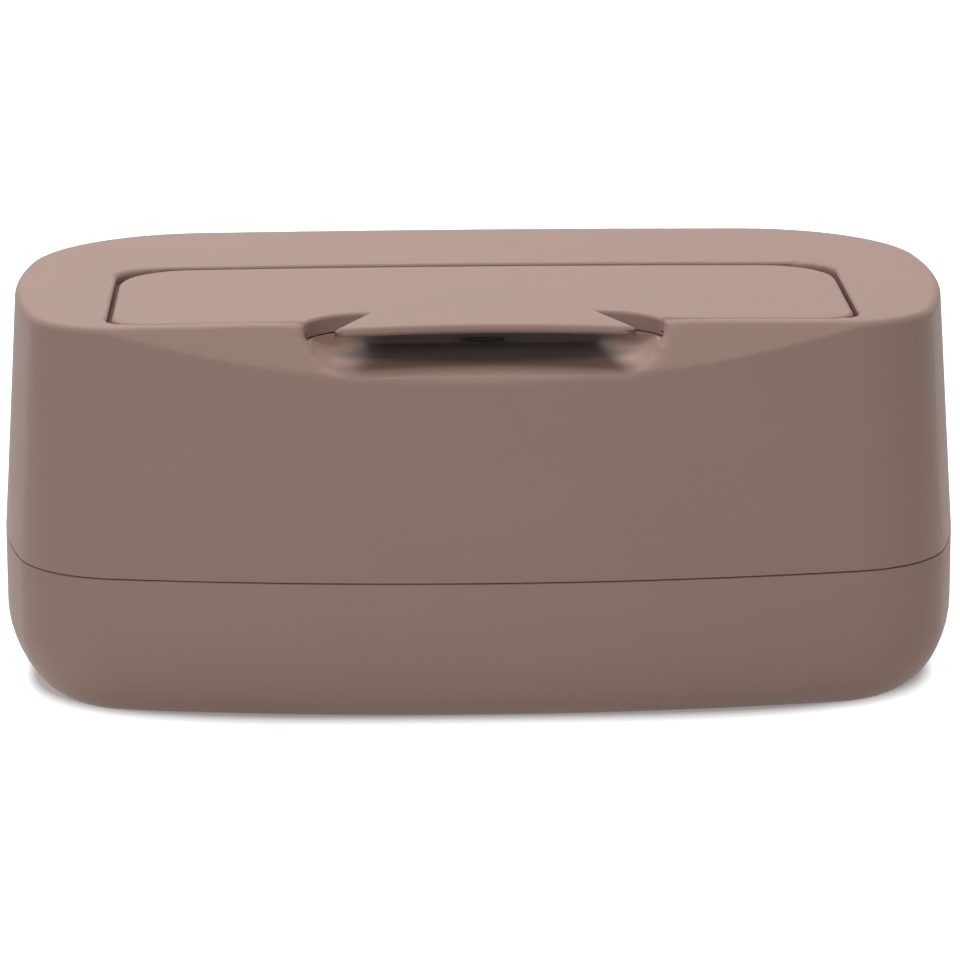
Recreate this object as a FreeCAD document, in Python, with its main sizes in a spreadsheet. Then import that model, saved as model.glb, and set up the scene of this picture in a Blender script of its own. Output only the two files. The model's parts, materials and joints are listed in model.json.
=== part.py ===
import FreeCAD, Part

import math
import os
from types import SimpleNamespace

import Sketcher

# Countertop wipes dispenser: a tray, a lift-off cover with a flush flip-up lid, and a press plate.
# +Z is up and the front of the object faces -Y. The origin lies on the counter, under the middle
# of the object. All lengths are millimetres and all angles are degrees.

# driving dimensions
SIZES = {
    # whole object
    "overall_width": 220.0,
    "overall_depth": 128.0,
    "overall_height": 92.0,
    "parting_height": 35.5,
    "parting_gap": 0.4,
    "parting_groove": 0.8,
    "foot_stand": 1.0,
    "draft_angle": 3.6,
    "crown_radius": 7100.0,
    # plan outline, seen from above
    "front_bow_rise": 13.05,
    "front_corner_radius": 27.0,
    "end_bow_radius": 156.0,
    "rear_corner_radius": 43.0,
    "widest_place": 4.0,
    # cover shell
    "shell_wall": 2.5,
    "ceiling_thickness": 3.0,
    "top_round": 2.0,
    "facet_setback": 12.2,
    "facet_angle": 37.7,
    # tray
    "tray_wall": 2.5,
    "tray_floor": 2.5,
    "base_round": 18.0,
    "rim_inset": 3.1,
    "rim_thickness": 2.0,
    "rim_height": 5.0,
    "rim_root": 7.0,
    "seal_inset": 2.95,
    "seal_width": 1.1,
    "seal_height": 1.6,
    "seal_lift": 1.6,
    # feet
    "foot_radius": 6.0,
    "foot_recess": 1.2,
    "foot_clearance": 0.1,
    "foot_side_margin": 44.0,
    "foot_end_margin": 34.0,
    # lid and the opening round it
    "lid_side_margin": 27.5,
    "lid_rear_place": 12.6,
    "lid_front_radius": 8.0,
    "lid_rear_radius": 16.0,
    "lid_edge_round": 1.0,
    "lid_thickness": 2.2,
    "lid_skirt": 4.0,
    "skirt_wall": 1.8,
    "lid_end_gap": 1.1,
    "lid_front_gap": 0.5,
    "lid_rear_gap": 3.2,
    "front_bead": 2.0,
    "opening_front_radius": 8.5,
    "opening_rear_radius": 9.0,
    "opening_bevel": 0.5,
    # finger scoop and the tongue over it
    "scoop_half_width": 40.4,
    "scoop_back_place": 40.0,
    "scoop_corner_radius": 15.0,
    "lip_drop": 10.2,
    "lip_corner_radius": 11,
    "scoop_floor_angle": 9.0,
    "bowl_wall": 2.2,
    "bowl_top_gap": 0.3,
    "tongue_tip_half_width": 33.0,
    "tongue_tip_place": 58.0,
    "tongue_hollow": 3.4,
    "tongue_thickness": 2.0,
    "tongue_root_overlap": 3.0,
    # hinge
    "hinge_setback": 5.3,
    "hinge_drop": 4.5,
    "swing_clearance": 1.0,
    "pin_radius": 1.0,
    "pin_clearance": 0.06,
    "knuckle_radius": 2.2,
    "knuckle_width": 10.0,
    "knuckle_inset": 32.5,
    "cheek_radius": 2.0,
    "cheek_width": 3.0,
    "cheek_web_rear": 0.4,
    "cheek_gap": 0.4,
    "pin_inset": 0.5,
    # inner frame
    "frame_wall": 2.0,
    "tub_room": 3.0,
    "deck_thickness": 2.0,
    "frame_fit": 0.3,
    "flange_reach": 9.5,
    "flange_corner_radius": 14.0,
    "gutter_wall": 1.8,
    "gutter_front_reach": 3.5,
    "mouth_side_margin": 27.5,
    "mouth_depth": 30.0,
    "mouth_corner_radius": 12.0,
    "mouth_rim_wall": 2.0,
    "mouth_rim_rise": 1.5,
    # screws that hold the frame under the cover
    "screw_radius": 1.3,
    "screw_length": 6.5,
    "screw_head_radius": 2.5,
    "screw_head_height": 1.6,
    "screw_clearance": 0.25,
    "boss_radius": 3.4,
    "pilot_depth": 5.2,
    "rear_screw_inset": 21.6,
    "rear_screw_inner_place": 21.0,
    "side_screw_place": 20.0,
    # lid's inner panel
    "panel_fit": 0.2,
    "panel_front_place": 36.6,
    "panel_corner_radius": 4.0,
    "panel_thickness": 1.8,
    "gasket_width": 3.2,
    "gasket_groove": 0.5,
    "stake_radius": 1.5,
    "stake_head_radius": 2.4,
    "stake_head_height": 0.8,
    "stake_inset": 12.5,
    "stake_front_place": 28.0,
    "stake_rear_place": 4.0,
    # magnet and its catch plate
    "magnet_half_width": 5.0,
    "magnet_depth": 2.6,
    "magnet_height": 2.0,
    "magnet_wall": 1.0,
    "magnet_drop": 1.0,
    "catch_half_width": 5.0,
    "catch_thickness": 0.8,
    "catch_reach": 7.0,
    "catch_recess": 0.7,
    # press plate
    "plate_side_margin": 24.0,
    "plate_end_margin": 26.0,
    "plate_corner_radius": 18.0,
    "plate_height": 9.0,
    "plate_wall": 2.0,
    "plate_round": 1.5,
    "slot_side_margin": 38.0,
    "slot_front_margin": 11.0,
    "slot_end_flat": 0.5,
    "slot_rear_place": 3.0,
    "slot_wall": 2.0,
    "plate_cap_thickness": 1.6,
    "plate_cap_fit": 0.15,
    "weight_slot_gap": 1.5,
    "weight_end_gap": 2.5,
    "weight_thickness": 4.8,
    "weight_corner_radius": 3.0,
    "weight_front_gap": 9.0,
    "plate_screw_side_inset": 13.5,
    "plate_screw_end_inset": 5.7,
    "plate_screw_radius": 1.1,
    "plate_screw_length": 5.5,
    "plate_screw_head_radius": 2.0,
    "plate_screw_head_height": 1.0,
    "plate_boss_radius": 2.9,
    # how far a cutting tool runs past what it cuts
    "overrun": 12.0,
}

DOC = FreeCAD.newDocument("wipes_dispenser")
NODES = {}
EDGE_TOLERANCE = 1e-3


class Dim:
    """A length that knows its number and the sheet expression that gives it."""

    def __init__(self, text, value):
        self.text = text
        self.value = float(value)

    def __add__(self, other):
        other = dim(other)
        return Dim(f"({self.text} + {other.text})", self.value + other.value)

    def __sub__(self, other):
        other = dim(other)
        return Dim(f"({self.text} - {other.text})", self.value - other.value)

    def __rsub__(self, other):
        return dim(other) - self

    def __mul__(self, other):
        other = dim(other)
        return Dim(f"({self.text} * {other.text})", self.value * other.value)

    def __truediv__(self, other):
        other = dim(other)
        return Dim(f"({self.text} / {other.text})", self.value / other.value)

    def __neg__(self):
        return Dim(f"(0 - {self.text})", -self.value)

    __radd__ = __add__
    __rmul__ = __mul__


def dim(number):
    """Turn a plain number into a Dim, and leave a Dim as it is."""
    return number if isinstance(number, Dim) else Dim(repr(float(number)), number)


def root(length):
    """Square root of a Dim."""
    return Dim(f"sqrt({length.text})", math.sqrt(length.value))


def tangent(angle):
    """Tangent of an angle in degrees."""
    return Dim(f"tan({angle.text})", math.tan(math.radians(angle.value)))


def cosine(angle):
    """Cosine of an angle in degrees."""
    return Dim(f"cos({angle.text})", math.cos(math.radians(angle.value)))


def fill_sheet():
    """Write the driving dimensions to the sheet and return them as Dims."""
    sheet = DOC.addObject("Spreadsheet::Sheet", "Sizes")
    for row, (name, value) in enumerate(SIZES.items(), start=1):
        sheet.set(f"A{row}", name)
        sheet.set(f"B{row}", str(value))
        sheet.setAlias(f"B{row}", name)
    DOC.recompute()
    return SimpleNamespace(**{name: Dim(f"Sizes.{name}", value) for name, value in SIZES.items()})


D = fill_sheet()


# binding and sketching
def bind(thing, **lengths):
    """Bind properties to the sheet. A double underscore in a name stands for a dot."""
    for name, length in lengths.items():
        thing.setExpression(name.replace("__", "."), dim(length).text)


def place(thing, x=0, y=0, z=0):
    """Bind a thing's position."""
    bind(thing, Placement__Base__x=x, Placement__Base__y=y, Placement__Base__z=z)
    return thing


def tilt(thing, angle, y, z):
    """Turn a thing about the X axis, so that its rear rises, and put its origin in place."""
    turn = FreeCAD.Rotation(FreeCAD.Vector(1, 0, 0), angle.value)
    thing.Placement = FreeCAD.Placement(FreeCAD.Vector(), turn)
    bind(thing, Placement__Rotation__Angle=angle)
    return place(thing, 0, y, z)


def sketch_on(body, name, role, lift):
    """Start a sketch on one of the body's own origin planes, moved along its normal."""
    sketch = body.newObject("Sketcher::SketchObject", name)
    plane = next(item for item in body.Origin.OriginFeatures if item.Role == role)
    sketch.AttachmentSupport = [(plane, "")]
    sketch.MapMode = "FlatFace"
    bind(sketch, AttachmentOffset__Base__z=lift)
    return sketch


def constrain(sketch, kind, *places, length=None):
    """Add one constraint, bound to the sheet when it has a length."""
    if length is None:
        return sketch.addConstraint(Sketcher.Constraint(kind, *places))
    length = dim(length)
    index = sketch.addConstraint(Sketcher.Constraint(kind, *places, length.value))
    sketch.setExpression(f"Constraints[{index}]", length.text)
    return index


def arc(centre, radius, start, end):
    """Arc from one angle to another, anticlockwise, in radians."""
    circle = Part.Circle(FreeCAD.Vector(*centre, 0), FreeCAD.Vector(0, 0, 1), radius)
    return Part.ArcOfCircle(circle, start, end)


def line(start, end):
    """Straight sketch line."""
    return Part.LineSegment(FreeCAD.Vector(*start, 0), FreeCAD.Vector(*end, 0))


def pin_point(sketch, geometry, spot, x=None, y=None):
    """Hold one point of the geometry at its distance from the sketch's origin."""
    if x is not None:
        constrain(sketch, "DistanceX", -1, 1, geometry, spot, length=x)
    if y is not None:
        constrain(sketch, "DistanceY", -1, 1, geometry, spot, length=y)


def meeting_centre(first, first_reach, second, second_reach):
    """Foremost or rearmost point at the two reaches from the two centres, on the right."""
    gap = math.dist(first, second)
    along = (first_reach**2 - second_reach**2 + gap**2) / (2 * gap)
    aside = math.sqrt(first_reach**2 - along**2)
    unit = ((second[0] - first[0]) / gap, (second[1] - first[1]) / gap)
    foot = (first[0] + along * unit[0], first[1] + along * unit[1])
    spots = [
        (foot[0] + sign * aside * unit[1], foot[1] - sign * aside * unit[0])
        for sign in (1, -1)
    ]
    return min(spots, key=lambda spot: spot[1])


def heading(start, end):
    """Angle of the line from one point to another."""
    return math.atan2(end[1] - start[1], end[0] - start[0])


def outline_sketch(body, name, inset, level):
    """The body's plan outline: bowed front, bowed ends, round corners and a straight rear."""
    sketch = sketch_on(body, name, "XY_Plane", level)
    half_width = D.overall_width / 2
    half_depth = D.overall_depth / 2
    rise = D.front_bow_rise
    front_bow = (half_width * half_width + rise * rise) / (rise * 2)
    front_y = front_bow - half_depth
    end_x = half_width - D.end_bow_radius
    front = (0.0, front_y.value)
    end = (end_x.value, D.widest_place.value)
    corner = meeting_centre(
        front,
        front_bow.value - D.front_corner_radius.value,
        end,
        D.end_bow_radius.value - D.front_corner_radius.value,
    )
    rear_y = half_depth.value - D.rear_corner_radius.value
    reach = D.end_bow_radius.value - D.rear_corner_radius.value
    rear = (end[0] + math.sqrt(reach**2 - (rear_y - end[1]) ** 2), rear_y)
    turns = [heading(front, corner), heading(end, corner), heading(end, rear), math.pi / 2]
    radii = [
        length - inset
        for length in (front_bow, D.front_corner_radius, D.end_bow_radius, D.rear_corner_radius)
    ]
    rear_line = (half_depth - inset).value

    def mirrored(centre, radius, start, stop):
        return arc((-centre[0], centre[1]), radius.value, math.pi - stop, math.pi - start)

    shapes = [
        arc(front, radii[0].value, math.pi - turns[0], turns[0] + 2 * math.pi),
        arc(corner, radii[1].value, turns[0], turns[1]),
        arc(end, radii[2].value, turns[1], turns[2]),
        arc(rear, radii[3].value, turns[2], turns[3]),
        line((rear[0], rear_line), (-rear[0], rear_line)),
        mirrored(rear, radii[3], turns[2], turns[3]),
        mirrored(end, radii[2], turns[1], turns[2]),
        mirrored(corner, radii[1], turns[0], turns[1]),
    ]
    sketch.addGeometry(shapes, False)
    for index in range(len(shapes)):
        constrain(sketch, "Tangent", index, 2, (index + 1) % len(shapes), 1)
    for index, radius in ((0, 0), (1, 1), (7, 1), (2, 2), (6, 2), (3, 3), (5, 3)):
        constrain(sketch, "Radius", index, length=radii[radius])
    pin_point(sketch, 0, 3, x=dim(0), y=front_y)
    pin_point(sketch, 2, 3, x=end_x, y=D.widest_place)
    pin_point(sketch, 6, 3, x=-end_x, y=D.widest_place)
    constrain(sketch, "Horizontal", 4)
    pin_point(sketch, 4, 1, y=half_depth - inset)
    return sketch


def rounded_sketch(body, name, level, half_width, front, rear, front_radius, rear_radius, shift=0):
    """A rectangle with round corners; front and rear are its Y limits."""
    sketch = sketch_on(body, name, "XY_Plane", level)
    shift, front, rear = dim(shift), dim(front), dim(rear)
    left, right = shift - half_width, shift + half_width
    x0, x1, y0, y1 = left.value, right.value, front.value, rear.value
    r0, r1 = front_radius.value, rear_radius.value
    quarter = math.pi / 2
    shapes = [
        line((x0 + r0, y0), (x1 - r0, y0)),
        arc((x1 - r0, y0 + r0), r0, -quarter, 0),
        line((x1, y0 + r0), (x1, y1 - r1)),
        arc((x1 - r1, y1 - r1), r1, 0, quarter),
        line((x1 - r1, y1), (x0 + r1, y1)),
        arc((x0 + r1, y1 - r1), r1, quarter, 2 * quarter),
        line((x0, y1 - r1), (x0, y0 + r0)),
        arc((x0 + r0, y0 + r0), r0, 2 * quarter, 3 * quarter),
    ]
    sketch.addGeometry(shapes, False)
    for index in range(len(shapes)):
        constrain(sketch, "Tangent", index, 2, (index + 1) % len(shapes), 1)
    for index in (0, 4):
        constrain(sketch, "Horizontal", index)
    for index in (2, 6):
        constrain(sketch, "Vertical", index)
    for index, radius in ((1, front_radius), (7, front_radius), (3, rear_radius), (5, rear_radius)):
        constrain(sketch, "Radius", index, length=radius)
    pin_point(sketch, 0, 1, y=front)
    pin_point(sketch, 4, 1, y=rear)
    pin_point(sketch, 2, 1, x=right)
    pin_point(sketch, 6, 1, x=left)
    return sketch


def polygon_sketch(body, name, role, lift, points):
    """A closed outline of straight lines, with every corner held by its two coordinates."""
    sketch = sketch_on(body, name, role, lift)
    points = [(dim(x), dim(y)) for x, y in points]
    spots = [(x.value, y.value) for x, y in points]
    sketch.addGeometry([line(spot, spots[(i + 1) % len(spots)]) for i, spot in enumerate(spots)], False)
    for index, (x, y) in enumerate(points):
        constrain(sketch, "Coincident", index, 2, (index + 1) % len(points), 1)
        pin_point(sketch, index, 1, x=x, y=y)
    return sketch


# solids
def new_body(name):
    """An empty PartDesign body."""
    return DOC.addObject("PartDesign::Body", name)


def pad(body, sketch, length, symmetric=False):
    """Pad a sketch along its normal, or to both sides of its plane."""
    feature = body.newObject("PartDesign::Pad", f"{sketch.Name}_pad")
    feature.Profile = sketch
    feature.SideType = "Symmetric" if symmetric else "One side"
    bind(feature, Length=length)
    return feature


def loft(body, lower, upper):
    """Ruled loft between two sketches of like outline."""
    feature = body.newObject("PartDesign::AdditiveLoft", f"{body.Name}_loft")
    feature.Profile = lower
    feature.Sections = [upper]
    feature.Ruled = True
    return feature


def outline_block(name, inset, bottom, top):
    """Straight-sided block with the object's plan outline."""
    body = new_body(name)
    pad(body, outline_sketch(body, f"{name}_outline", dim(inset), dim(bottom)), dim(top) - bottom)
    return body


def tapered_block(name, inset, bottom, top):
    """Block with the plan outline that draws in above the parting line."""
    body = new_body(name)
    sketches = []
    for end, level in (("lower", dim(bottom)), ("upper", dim(top))):
        drawn_in = (level - D.parting_height) * tangent(D.draft_angle)
        sketches.append(outline_sketch(body, f"{name}_{end}", drawn_in + inset, level))
    loft(body, *sketches)
    return body


def rounded_block(name, bottom, top, half_width, front, rear, front_radius, rear_radius=None, shift=0):
    """Upright block with a round-cornered plan."""
    body = new_body(name)
    rear_radius = rear_radius or front_radius
    sketch = rounded_sketch(
        body, f"{name}_plan", dim(bottom), half_width, front, rear, front_radius, rear_radius, shift
    )
    pad(body, sketch, dim(top) - bottom)
    return body


def profile_block(name, points, half_length):
    """Block whose side view is given by (y, z) points, equally long to both sides of X = 0."""
    body = new_body(name)
    pad(body, polygon_sketch(body, f"{name}_profile", "YZ_Plane", 0, points), half_length * 2, True)
    return body


def box(name, x_middle, half_width, front, rear, bottom, top):
    """Plain box between Y and Z limits."""
    thing = DOC.addObject("Part::Box", name)
    bind(thing, Length=half_width * 2, Width=dim(rear) - front, Height=dim(top) - bottom)
    return place(thing, dim(x_middle) - half_width, front, bottom)


def upright(name, radius, x, y, bottom, top):
    """Upright cylinder."""
    thing = DOC.addObject("Part::Cylinder", name)
    bind(thing, Radius=radius, Height=dim(top) - bottom)
    return place(thing, x, y, bottom)


def cross_rod(name, radius, x_middle, half_length, y, z):
    """Cylinder along X."""
    thing = DOC.addObject("Part::Cylinder", name)
    bind(thing, Radius=radius, Height=half_length * 2)
    thing.Placement = FreeCAD.Placement(FreeCAD.Vector(), FreeCAD.Rotation(FreeCAD.Vector(0, 1, 0), 90))
    return place(thing, dim(x_middle) - half_length, y, z)


def fuse(name, *things):
    """Union of two or more things."""
    result = DOC.addObject("Part::MultiFuse", name)
    result.Shapes = list(things)
    return result


def cut(name, base, *tools):
    """Base without the tools."""
    result = DOC.addObject("Part::Cut", name)
    result.Base = base
    result.Tool = tools[0] if len(tools) == 1 else fuse(f"{name}_tools", *tools)
    return result


def common(name, *things):
    """What all things share."""
    result = DOC.addObject("Part::MultiCommon", name)
    result.Shapes = list(things)
    return result


def dress_edges(source, kind, size_name, size, chosen):
    """Dress the edges that the chosen test picks, and return the dressed body."""
    body = source
    if source.TypeId != "PartDesign::Body":
        body = new_body(f"{source.Name}_dressed")
        body.BaseFeature = source
    DOC.recompute()
    base = body.Tip
    edges = [f"Edge{index}" for index, edge in enumerate(base.Shape.Edges, start=1) if chosen(edge)]
    if not edges:
        raise ValueError(f"{source.Name} has no edge to dress")
    feature = body.newObject(f"PartDesign::{kind}", f"{source.Name}_{kind.lower()}")
    feature.Base = (base, edges)
    bind(feature, **{size_name: size})
    DOC.recompute()
    if not feature.isValid():
        raise ValueError(f"{source.Name} could not be dressed: {feature.getStatusString()}")
    return body


def round_edges(source, radius, chosen):
    """Round the chosen edges."""
    return dress_edges(source, "Fillet", "Radius", radius, chosen)


def bevel_edges(source, width, chosen):
    """Bevel the chosen edges at 45 degrees."""
    return dress_edges(source, "Chamfer", "Size", width, chosen)


def on_both(first, second):
    """Test that picks the edges where the surfaces of two things meet."""
    skins = [thing.Shape.Shells[0] for thing in (first, second)]

    def chosen(edge):
        middle = edge.valueAt((edge.FirstParameter + edge.LastParameter) / 2)
        return all(skin.distToShape(Part.Vertex(middle))[0] < EDGE_TOLERANCE for skin in skins)

    return chosen


def lies_at_height(edge, height):
    """Whether the whole edge is at one height."""
    return all(abs(vertex.Point.z - dim(height).value) < EDGE_TOLERANCE for vertex in edge.Vertexes)


def node(name, thing):
    """Name a finished sub-part and keep it for export."""
    thing.Label = name
    NODES[name] = thing
    return thing


# places worked out from the sizes
HALF_WIDTH = D.overall_width / 2
HALF_DEPTH = D.overall_depth / 2
LEDGE = D.parting_height - D.parting_gap / 2
CEILING = D.overall_height - D.ceiling_thickness
FACET_TOP = -(HALF_DEPTH - D.facet_setback)
OPENING_FRONT = FACET_TOP + D.front_bead
LID_FRONT = OPENING_FRONT + D.lid_front_gap
LID_REAR = D.lid_rear_place
LID_HALF_WIDTH = HALF_WIDTH - D.lid_side_margin
OPENING_REAR = LID_REAR + D.lid_rear_gap
OPENING_HALF_WIDTH = LID_HALF_WIDTH + D.lid_end_gap
SKIN_UNDERSIDE = D.overall_height - D.lid_thickness
SKIRT_BOTTOM = D.overall_height - D.lid_skirt
PANEL_BOTTOM = SKIN_UNDERSIDE - D.panel_thickness
HINGE_Y = LID_REAR - D.hinge_setback
HINGE_Z = D.overall_height - D.hinge_drop
KNUCKLE_X = LID_HALF_WIDTH - D.knuckle_inset
SWING_RADIUS = root(D.hinge_setback * D.hinge_setback + D.hinge_drop * D.hinge_drop) + D.swing_clearance
SWING_HALF_LENGTH = OPENING_HALF_WIDTH - D.opening_rear_radius
CORNER_RISE = D.lid_rear_radius - D.hinge_setback
CORNER_REACH = root(D.lid_rear_radius * D.lid_rear_radius - CORNER_RISE * CORNER_RISE)
GUTTER_HALF_LENGTH = LID_HALF_WIDTH - D.lid_rear_radius + CORNER_REACH + D.swing_clearance
GUTTER_FRONT = HINGE_Y - D.gutter_front_reach
DECK_TOP = PANEL_BOTTOM - D.tub_room
DECK_BOTTOM = DECK_TOP - D.deck_thickness
MOUTH_HALF_WIDTH = LID_HALF_WIDTH - D.mouth_side_margin
MOUTH_REAR = GUTTER_FRONT - D.gutter_wall - D.mouth_rim_wall
MOUTH_FRONT = MOUTH_REAR - D.mouth_depth
MOUTH_RIM_TOP = DECK_TOP + D.mouth_rim_rise
SCOOP_BACK = -D.scoop_back_place
LIP_HEIGHT = D.overall_height - D.lip_drop
BOWL_BOTTOM = LIP_HEIGHT - D.bowl_wall
BOWL_TOP = SKIRT_BOTTOM - D.bowl_top_gap
TRAY_FLOOR = D.foot_stand + D.tray_floor
PLATE_TOP = TRAY_FLOOR + D.plate_height
PLATE_HALF_WIDTH = HALF_WIDTH - D.plate_side_margin
PLATE_HALF_DEPTH = HALF_DEPTH - D.plate_end_margin
SLOT_HALF_WIDTH = PLATE_HALF_WIDTH - D.slot_side_margin
SLOT_FRONT = -PLATE_HALF_DEPTH + D.slot_front_margin
SLOT_REAR = -D.slot_rear_place
SLOT_CORNER = (SLOT_REAR - SLOT_FRONT) / 2 - D.slot_end_flat
WEIGHT_INNER = SLOT_HALF_WIDTH + D.slot_wall + D.weight_slot_gap
WEIGHT_OUTER = PLATE_HALF_WIDTH - D.plate_wall - D.weight_end_gap
WEIGHT_HALF_DEPTH = PLATE_HALF_DEPTH - D.weight_front_gap


def crown_cylinder(name):
    """A very large cylinder along Y whose top is the gently crowned top of the object."""
    thing = DOC.addObject("Part::Cylinder", name)
    bind(thing, Radius=D.crown_radius, Height=D.overall_depth + D.overrun * 2)
    thing.Placement = FreeCAD.Placement(FreeCAD.Vector(), FreeCAD.Rotation(FreeCAD.Vector(1, 0, 0), 90))
    return place(thing, 0, D.overall_depth / 2 + D.overrun, D.overall_height - D.crown_radius)


def facet_cutter(name, inset):
    """Wedge that takes off the front top corner, with its face moved inwards by the inset."""
    slope = tangent(D.facet_angle)
    edge_y = FACET_TOP + dim(inset) / cosine(D.facet_angle)
    low = D.overall_height - D.overall_depth / 2
    high = D.overall_height + D.overrun
    far = -D.overall_depth
    points = [
        (edge_y + D.overrun * slope, high),
        (far, high),
        (far, low),
        (edge_y - (D.overall_height - low) * slope, low),
    ]
    return profile_block(name, points, D.overall_width)


def opening_prism(name, bottom, top, grow=0):
    """The lid opening's plan as an upright block."""
    return rounded_block(
        name,
        bottom,
        top,
        OPENING_HALF_WIDTH + grow,
        OPENING_FRONT - grow,
        OPENING_REAR + grow,
        D.opening_front_radius + grow,
        D.opening_rear_radius + grow,
    )


def scoop_plan(name, bottom, top, grow=0):
    """The finger scoop's plan, open to the front, as an upright block."""
    return rounded_block(
        name,
        bottom,
        top,
        D.scoop_half_width + grow,
        -D.overall_depth,
        SCOOP_BACK + grow,
        D.scoop_corner_radius + grow,
    )


# tray and feet
def make_tray():
    """The lower shell, with the upstand that the cover fits over and its seal groove."""
    outer = outline_block("tray_outer", 0, D.foot_stand, LEDGE)
    round_edges(outer, D.base_round, lambda edge: lies_at_height(edge, D.foot_stand))
    well = outline_block("tray_well", D.tray_wall, TRAY_FLOOR, D.parting_height + D.overrun)
    round_edges(well, D.base_round - D.tray_wall, lambda edge: lies_at_height(edge, TRAY_FLOOR))
    rim_bottom = LEDGE - D.rim_root
    rim_top = LEDGE + D.rim_height
    rim_outer = outline_block("rim_outer", D.rim_inset, rim_bottom, rim_top)
    rim_inner = outline_block(
        "rim_inner", D.rim_inset + D.rim_thickness, rim_bottom - D.overrun, rim_top + D.overrun
    )
    root_outer = outline_block("rim_root_outer", D.tray_wall / 2, rim_bottom, LEDGE)
    rim = cut("rim_ring", fuse("rim_solid", rim_outer, root_outer), rim_inner)
    shell = cut("tray_shell", outer, well)
    body = fuse("tray_with_rim", shell, rim)
    groove = seal_ring("seal_groove", D.rim_inset - D.seal_inset + D.overrun)
    recesses = [
        upright(
            f"foot_recess_{side}_{end}",
            D.foot_radius + D.foot_clearance,
            x,
            y,
            D.foot_stand - D.overrun,
            D.foot_stand + D.foot_recess,
        )
        for side, end, x, y in foot_places()
    ]
    node("base_tray", cut("base_tray", body, groove, *recesses))


def seal_ring(name, outward):
    """Ring round the upstand; outward widens it past the seal's own face."""
    bottom = LEDGE + D.seal_lift
    top = bottom + D.seal_height
    outer = outline_block(f"{name}_outer", D.seal_inset - outward, bottom, top)
    inner = outline_block(
        f"{name}_inner", D.seal_inset + D.seal_width, bottom - D.overrun, top + D.overrun
    )
    return cut(name, outer, inner)


def foot_places():
    """Side, end, X and Y of each foot."""
    foot_x, foot_y = HALF_WIDTH - D.foot_side_margin, HALF_DEPTH - D.foot_end_margin
    for end, y in (("front", -foot_y), ("rear", foot_y)):
        for side, x in (("left", -foot_x), ("right", foot_x)):
            yield side, end, x, y


def make_feet():
    """Four soft discs pressed into the tray's underside."""
    for side, end, x, y in foot_places():
        name = f"foot_{end}_{side}"
        node(name, upright(name, D.foot_radius, x, y, 0, D.foot_stand + D.foot_recess))


# cover
def make_cover():
    """The upper shell: drawn-in walls, crowned top, front facet, lid opening and finger scoop."""
    block = tapered_block("cover_block", 0, LEDGE, D.overall_height + D.overrun)
    sharp = cut(
        "cover_outside",
        common("cover_crowned", block, crown_cylinder("cover_crown")),
        facet_cutter("cover_facet", 0),
    )
    outer = round_edges(sharp, D.top_round, lambda edge: edge.BoundBox.ZMin > D.parting_height.value)
    opening = opening_prism("cover_opening", BOWL_TOP, D.overall_height + D.overrun)
    opened = cut("cover_opened", outer, opening)
    DOC.recompute()
    opened = bevel_edges(opened, D.opening_bevel, on_both(outer, opening))
    cavity = inner_envelope("cover_cavity", D.shell_wall, D.foot_stand)
    shell = cut("cover_hollow", opened, cavity)
    bowl_solid = common("bowl_solid", outer, bowl_outside("bowl_outside", BOWL_TOP))
    bowl = cut("bowl_block", bowl_solid, bowl_wedge())
    bosses = [
        upright(f"boss_{index}", D.boss_radius, x, y, DECK_TOP, CEILING + D.ceiling_thickness / 2)
        for index, (x, y) in enumerate(screw_places())
    ]
    pilots = [
        upright(f"pilot_{index}", D.screw_radius, x, y, DECK_BOTTOM, DECK_TOP + D.pilot_depth)
        for index, (x, y) in enumerate(screw_places())
    ]
    full = fuse("cover_full", shell, bowl, *bosses)
    swing = cross_rod("cover_swing", SWING_RADIUS, 0, SWING_HALF_LENGTH, HINGE_Y, HINGE_Z)
    groove = cut(
        "parting_groove_ring",
        outline_block("parting_outer", -D.overrun, LEDGE - D.overrun, LEDGE + D.parting_gap),
        outline_block("parting_inner", D.parting_groove, -D.overrun, D.parting_height + D.overrun),
    )
    slit = box(
        "catch_slit",
        0,
        D.catch_half_width,
        SCOOP_BACK - D.overrun / 2,
        SCOOP_BACK + D.catch_reach,
        DECK_TOP,
        DECK_TOP + D.catch_thickness,
    )
    tools = (swing, groove, slit, scoop_mouth(), *pilots)
    node("cover_shell", cut("cover_shell", full, *tools))


def inner_envelope(name, inset, bottom):
    """The room inside the cover's walls, under its ceiling and behind its front facet."""
    block = tapered_block(f"{name}_block", inset, bottom, CEILING)
    return cut(name, block, facet_cutter(f"{name}_facet", inset))


def bowl_outside(name, top, grow=0):
    """The outside of the finger scoop's bowl, as seen from within the cover."""
    return rounded_block(
        name,
        BOWL_BOTTOM - grow,
        top,
        D.scoop_half_width + D.bowl_wall + grow,
        -D.overall_depth,
        SCOOP_BACK + D.bowl_wall + grow,
        D.scoop_corner_radius + D.bowl_wall + grow,
    )


def scoop_floor(place):
    """Height of the finger scoop's floor, which rises from the lip to the rear."""
    return LIP_HEIGHT + (dim(place) + D.tongue_tip_place) * tangent(D.scoop_floor_angle)


def bowl_wedge():
    """Wedge under the scoop's rising floor, so that the floor is one wall thick."""
    front, rear = -D.tongue_tip_place, SCOOP_BACK + D.bowl_wall + D.overrun
    points = [
        (front, BOWL_BOTTOM),
        (rear, scoop_floor(rear) - D.bowl_wall),
        (rear, BOWL_BOTTOM - D.overrun),
        (front, BOWL_BOTTOM - D.overrun),
    ]
    return profile_block("bowl_wedge", points, D.scoop_half_width + D.bowl_wall + D.overrun)


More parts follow.
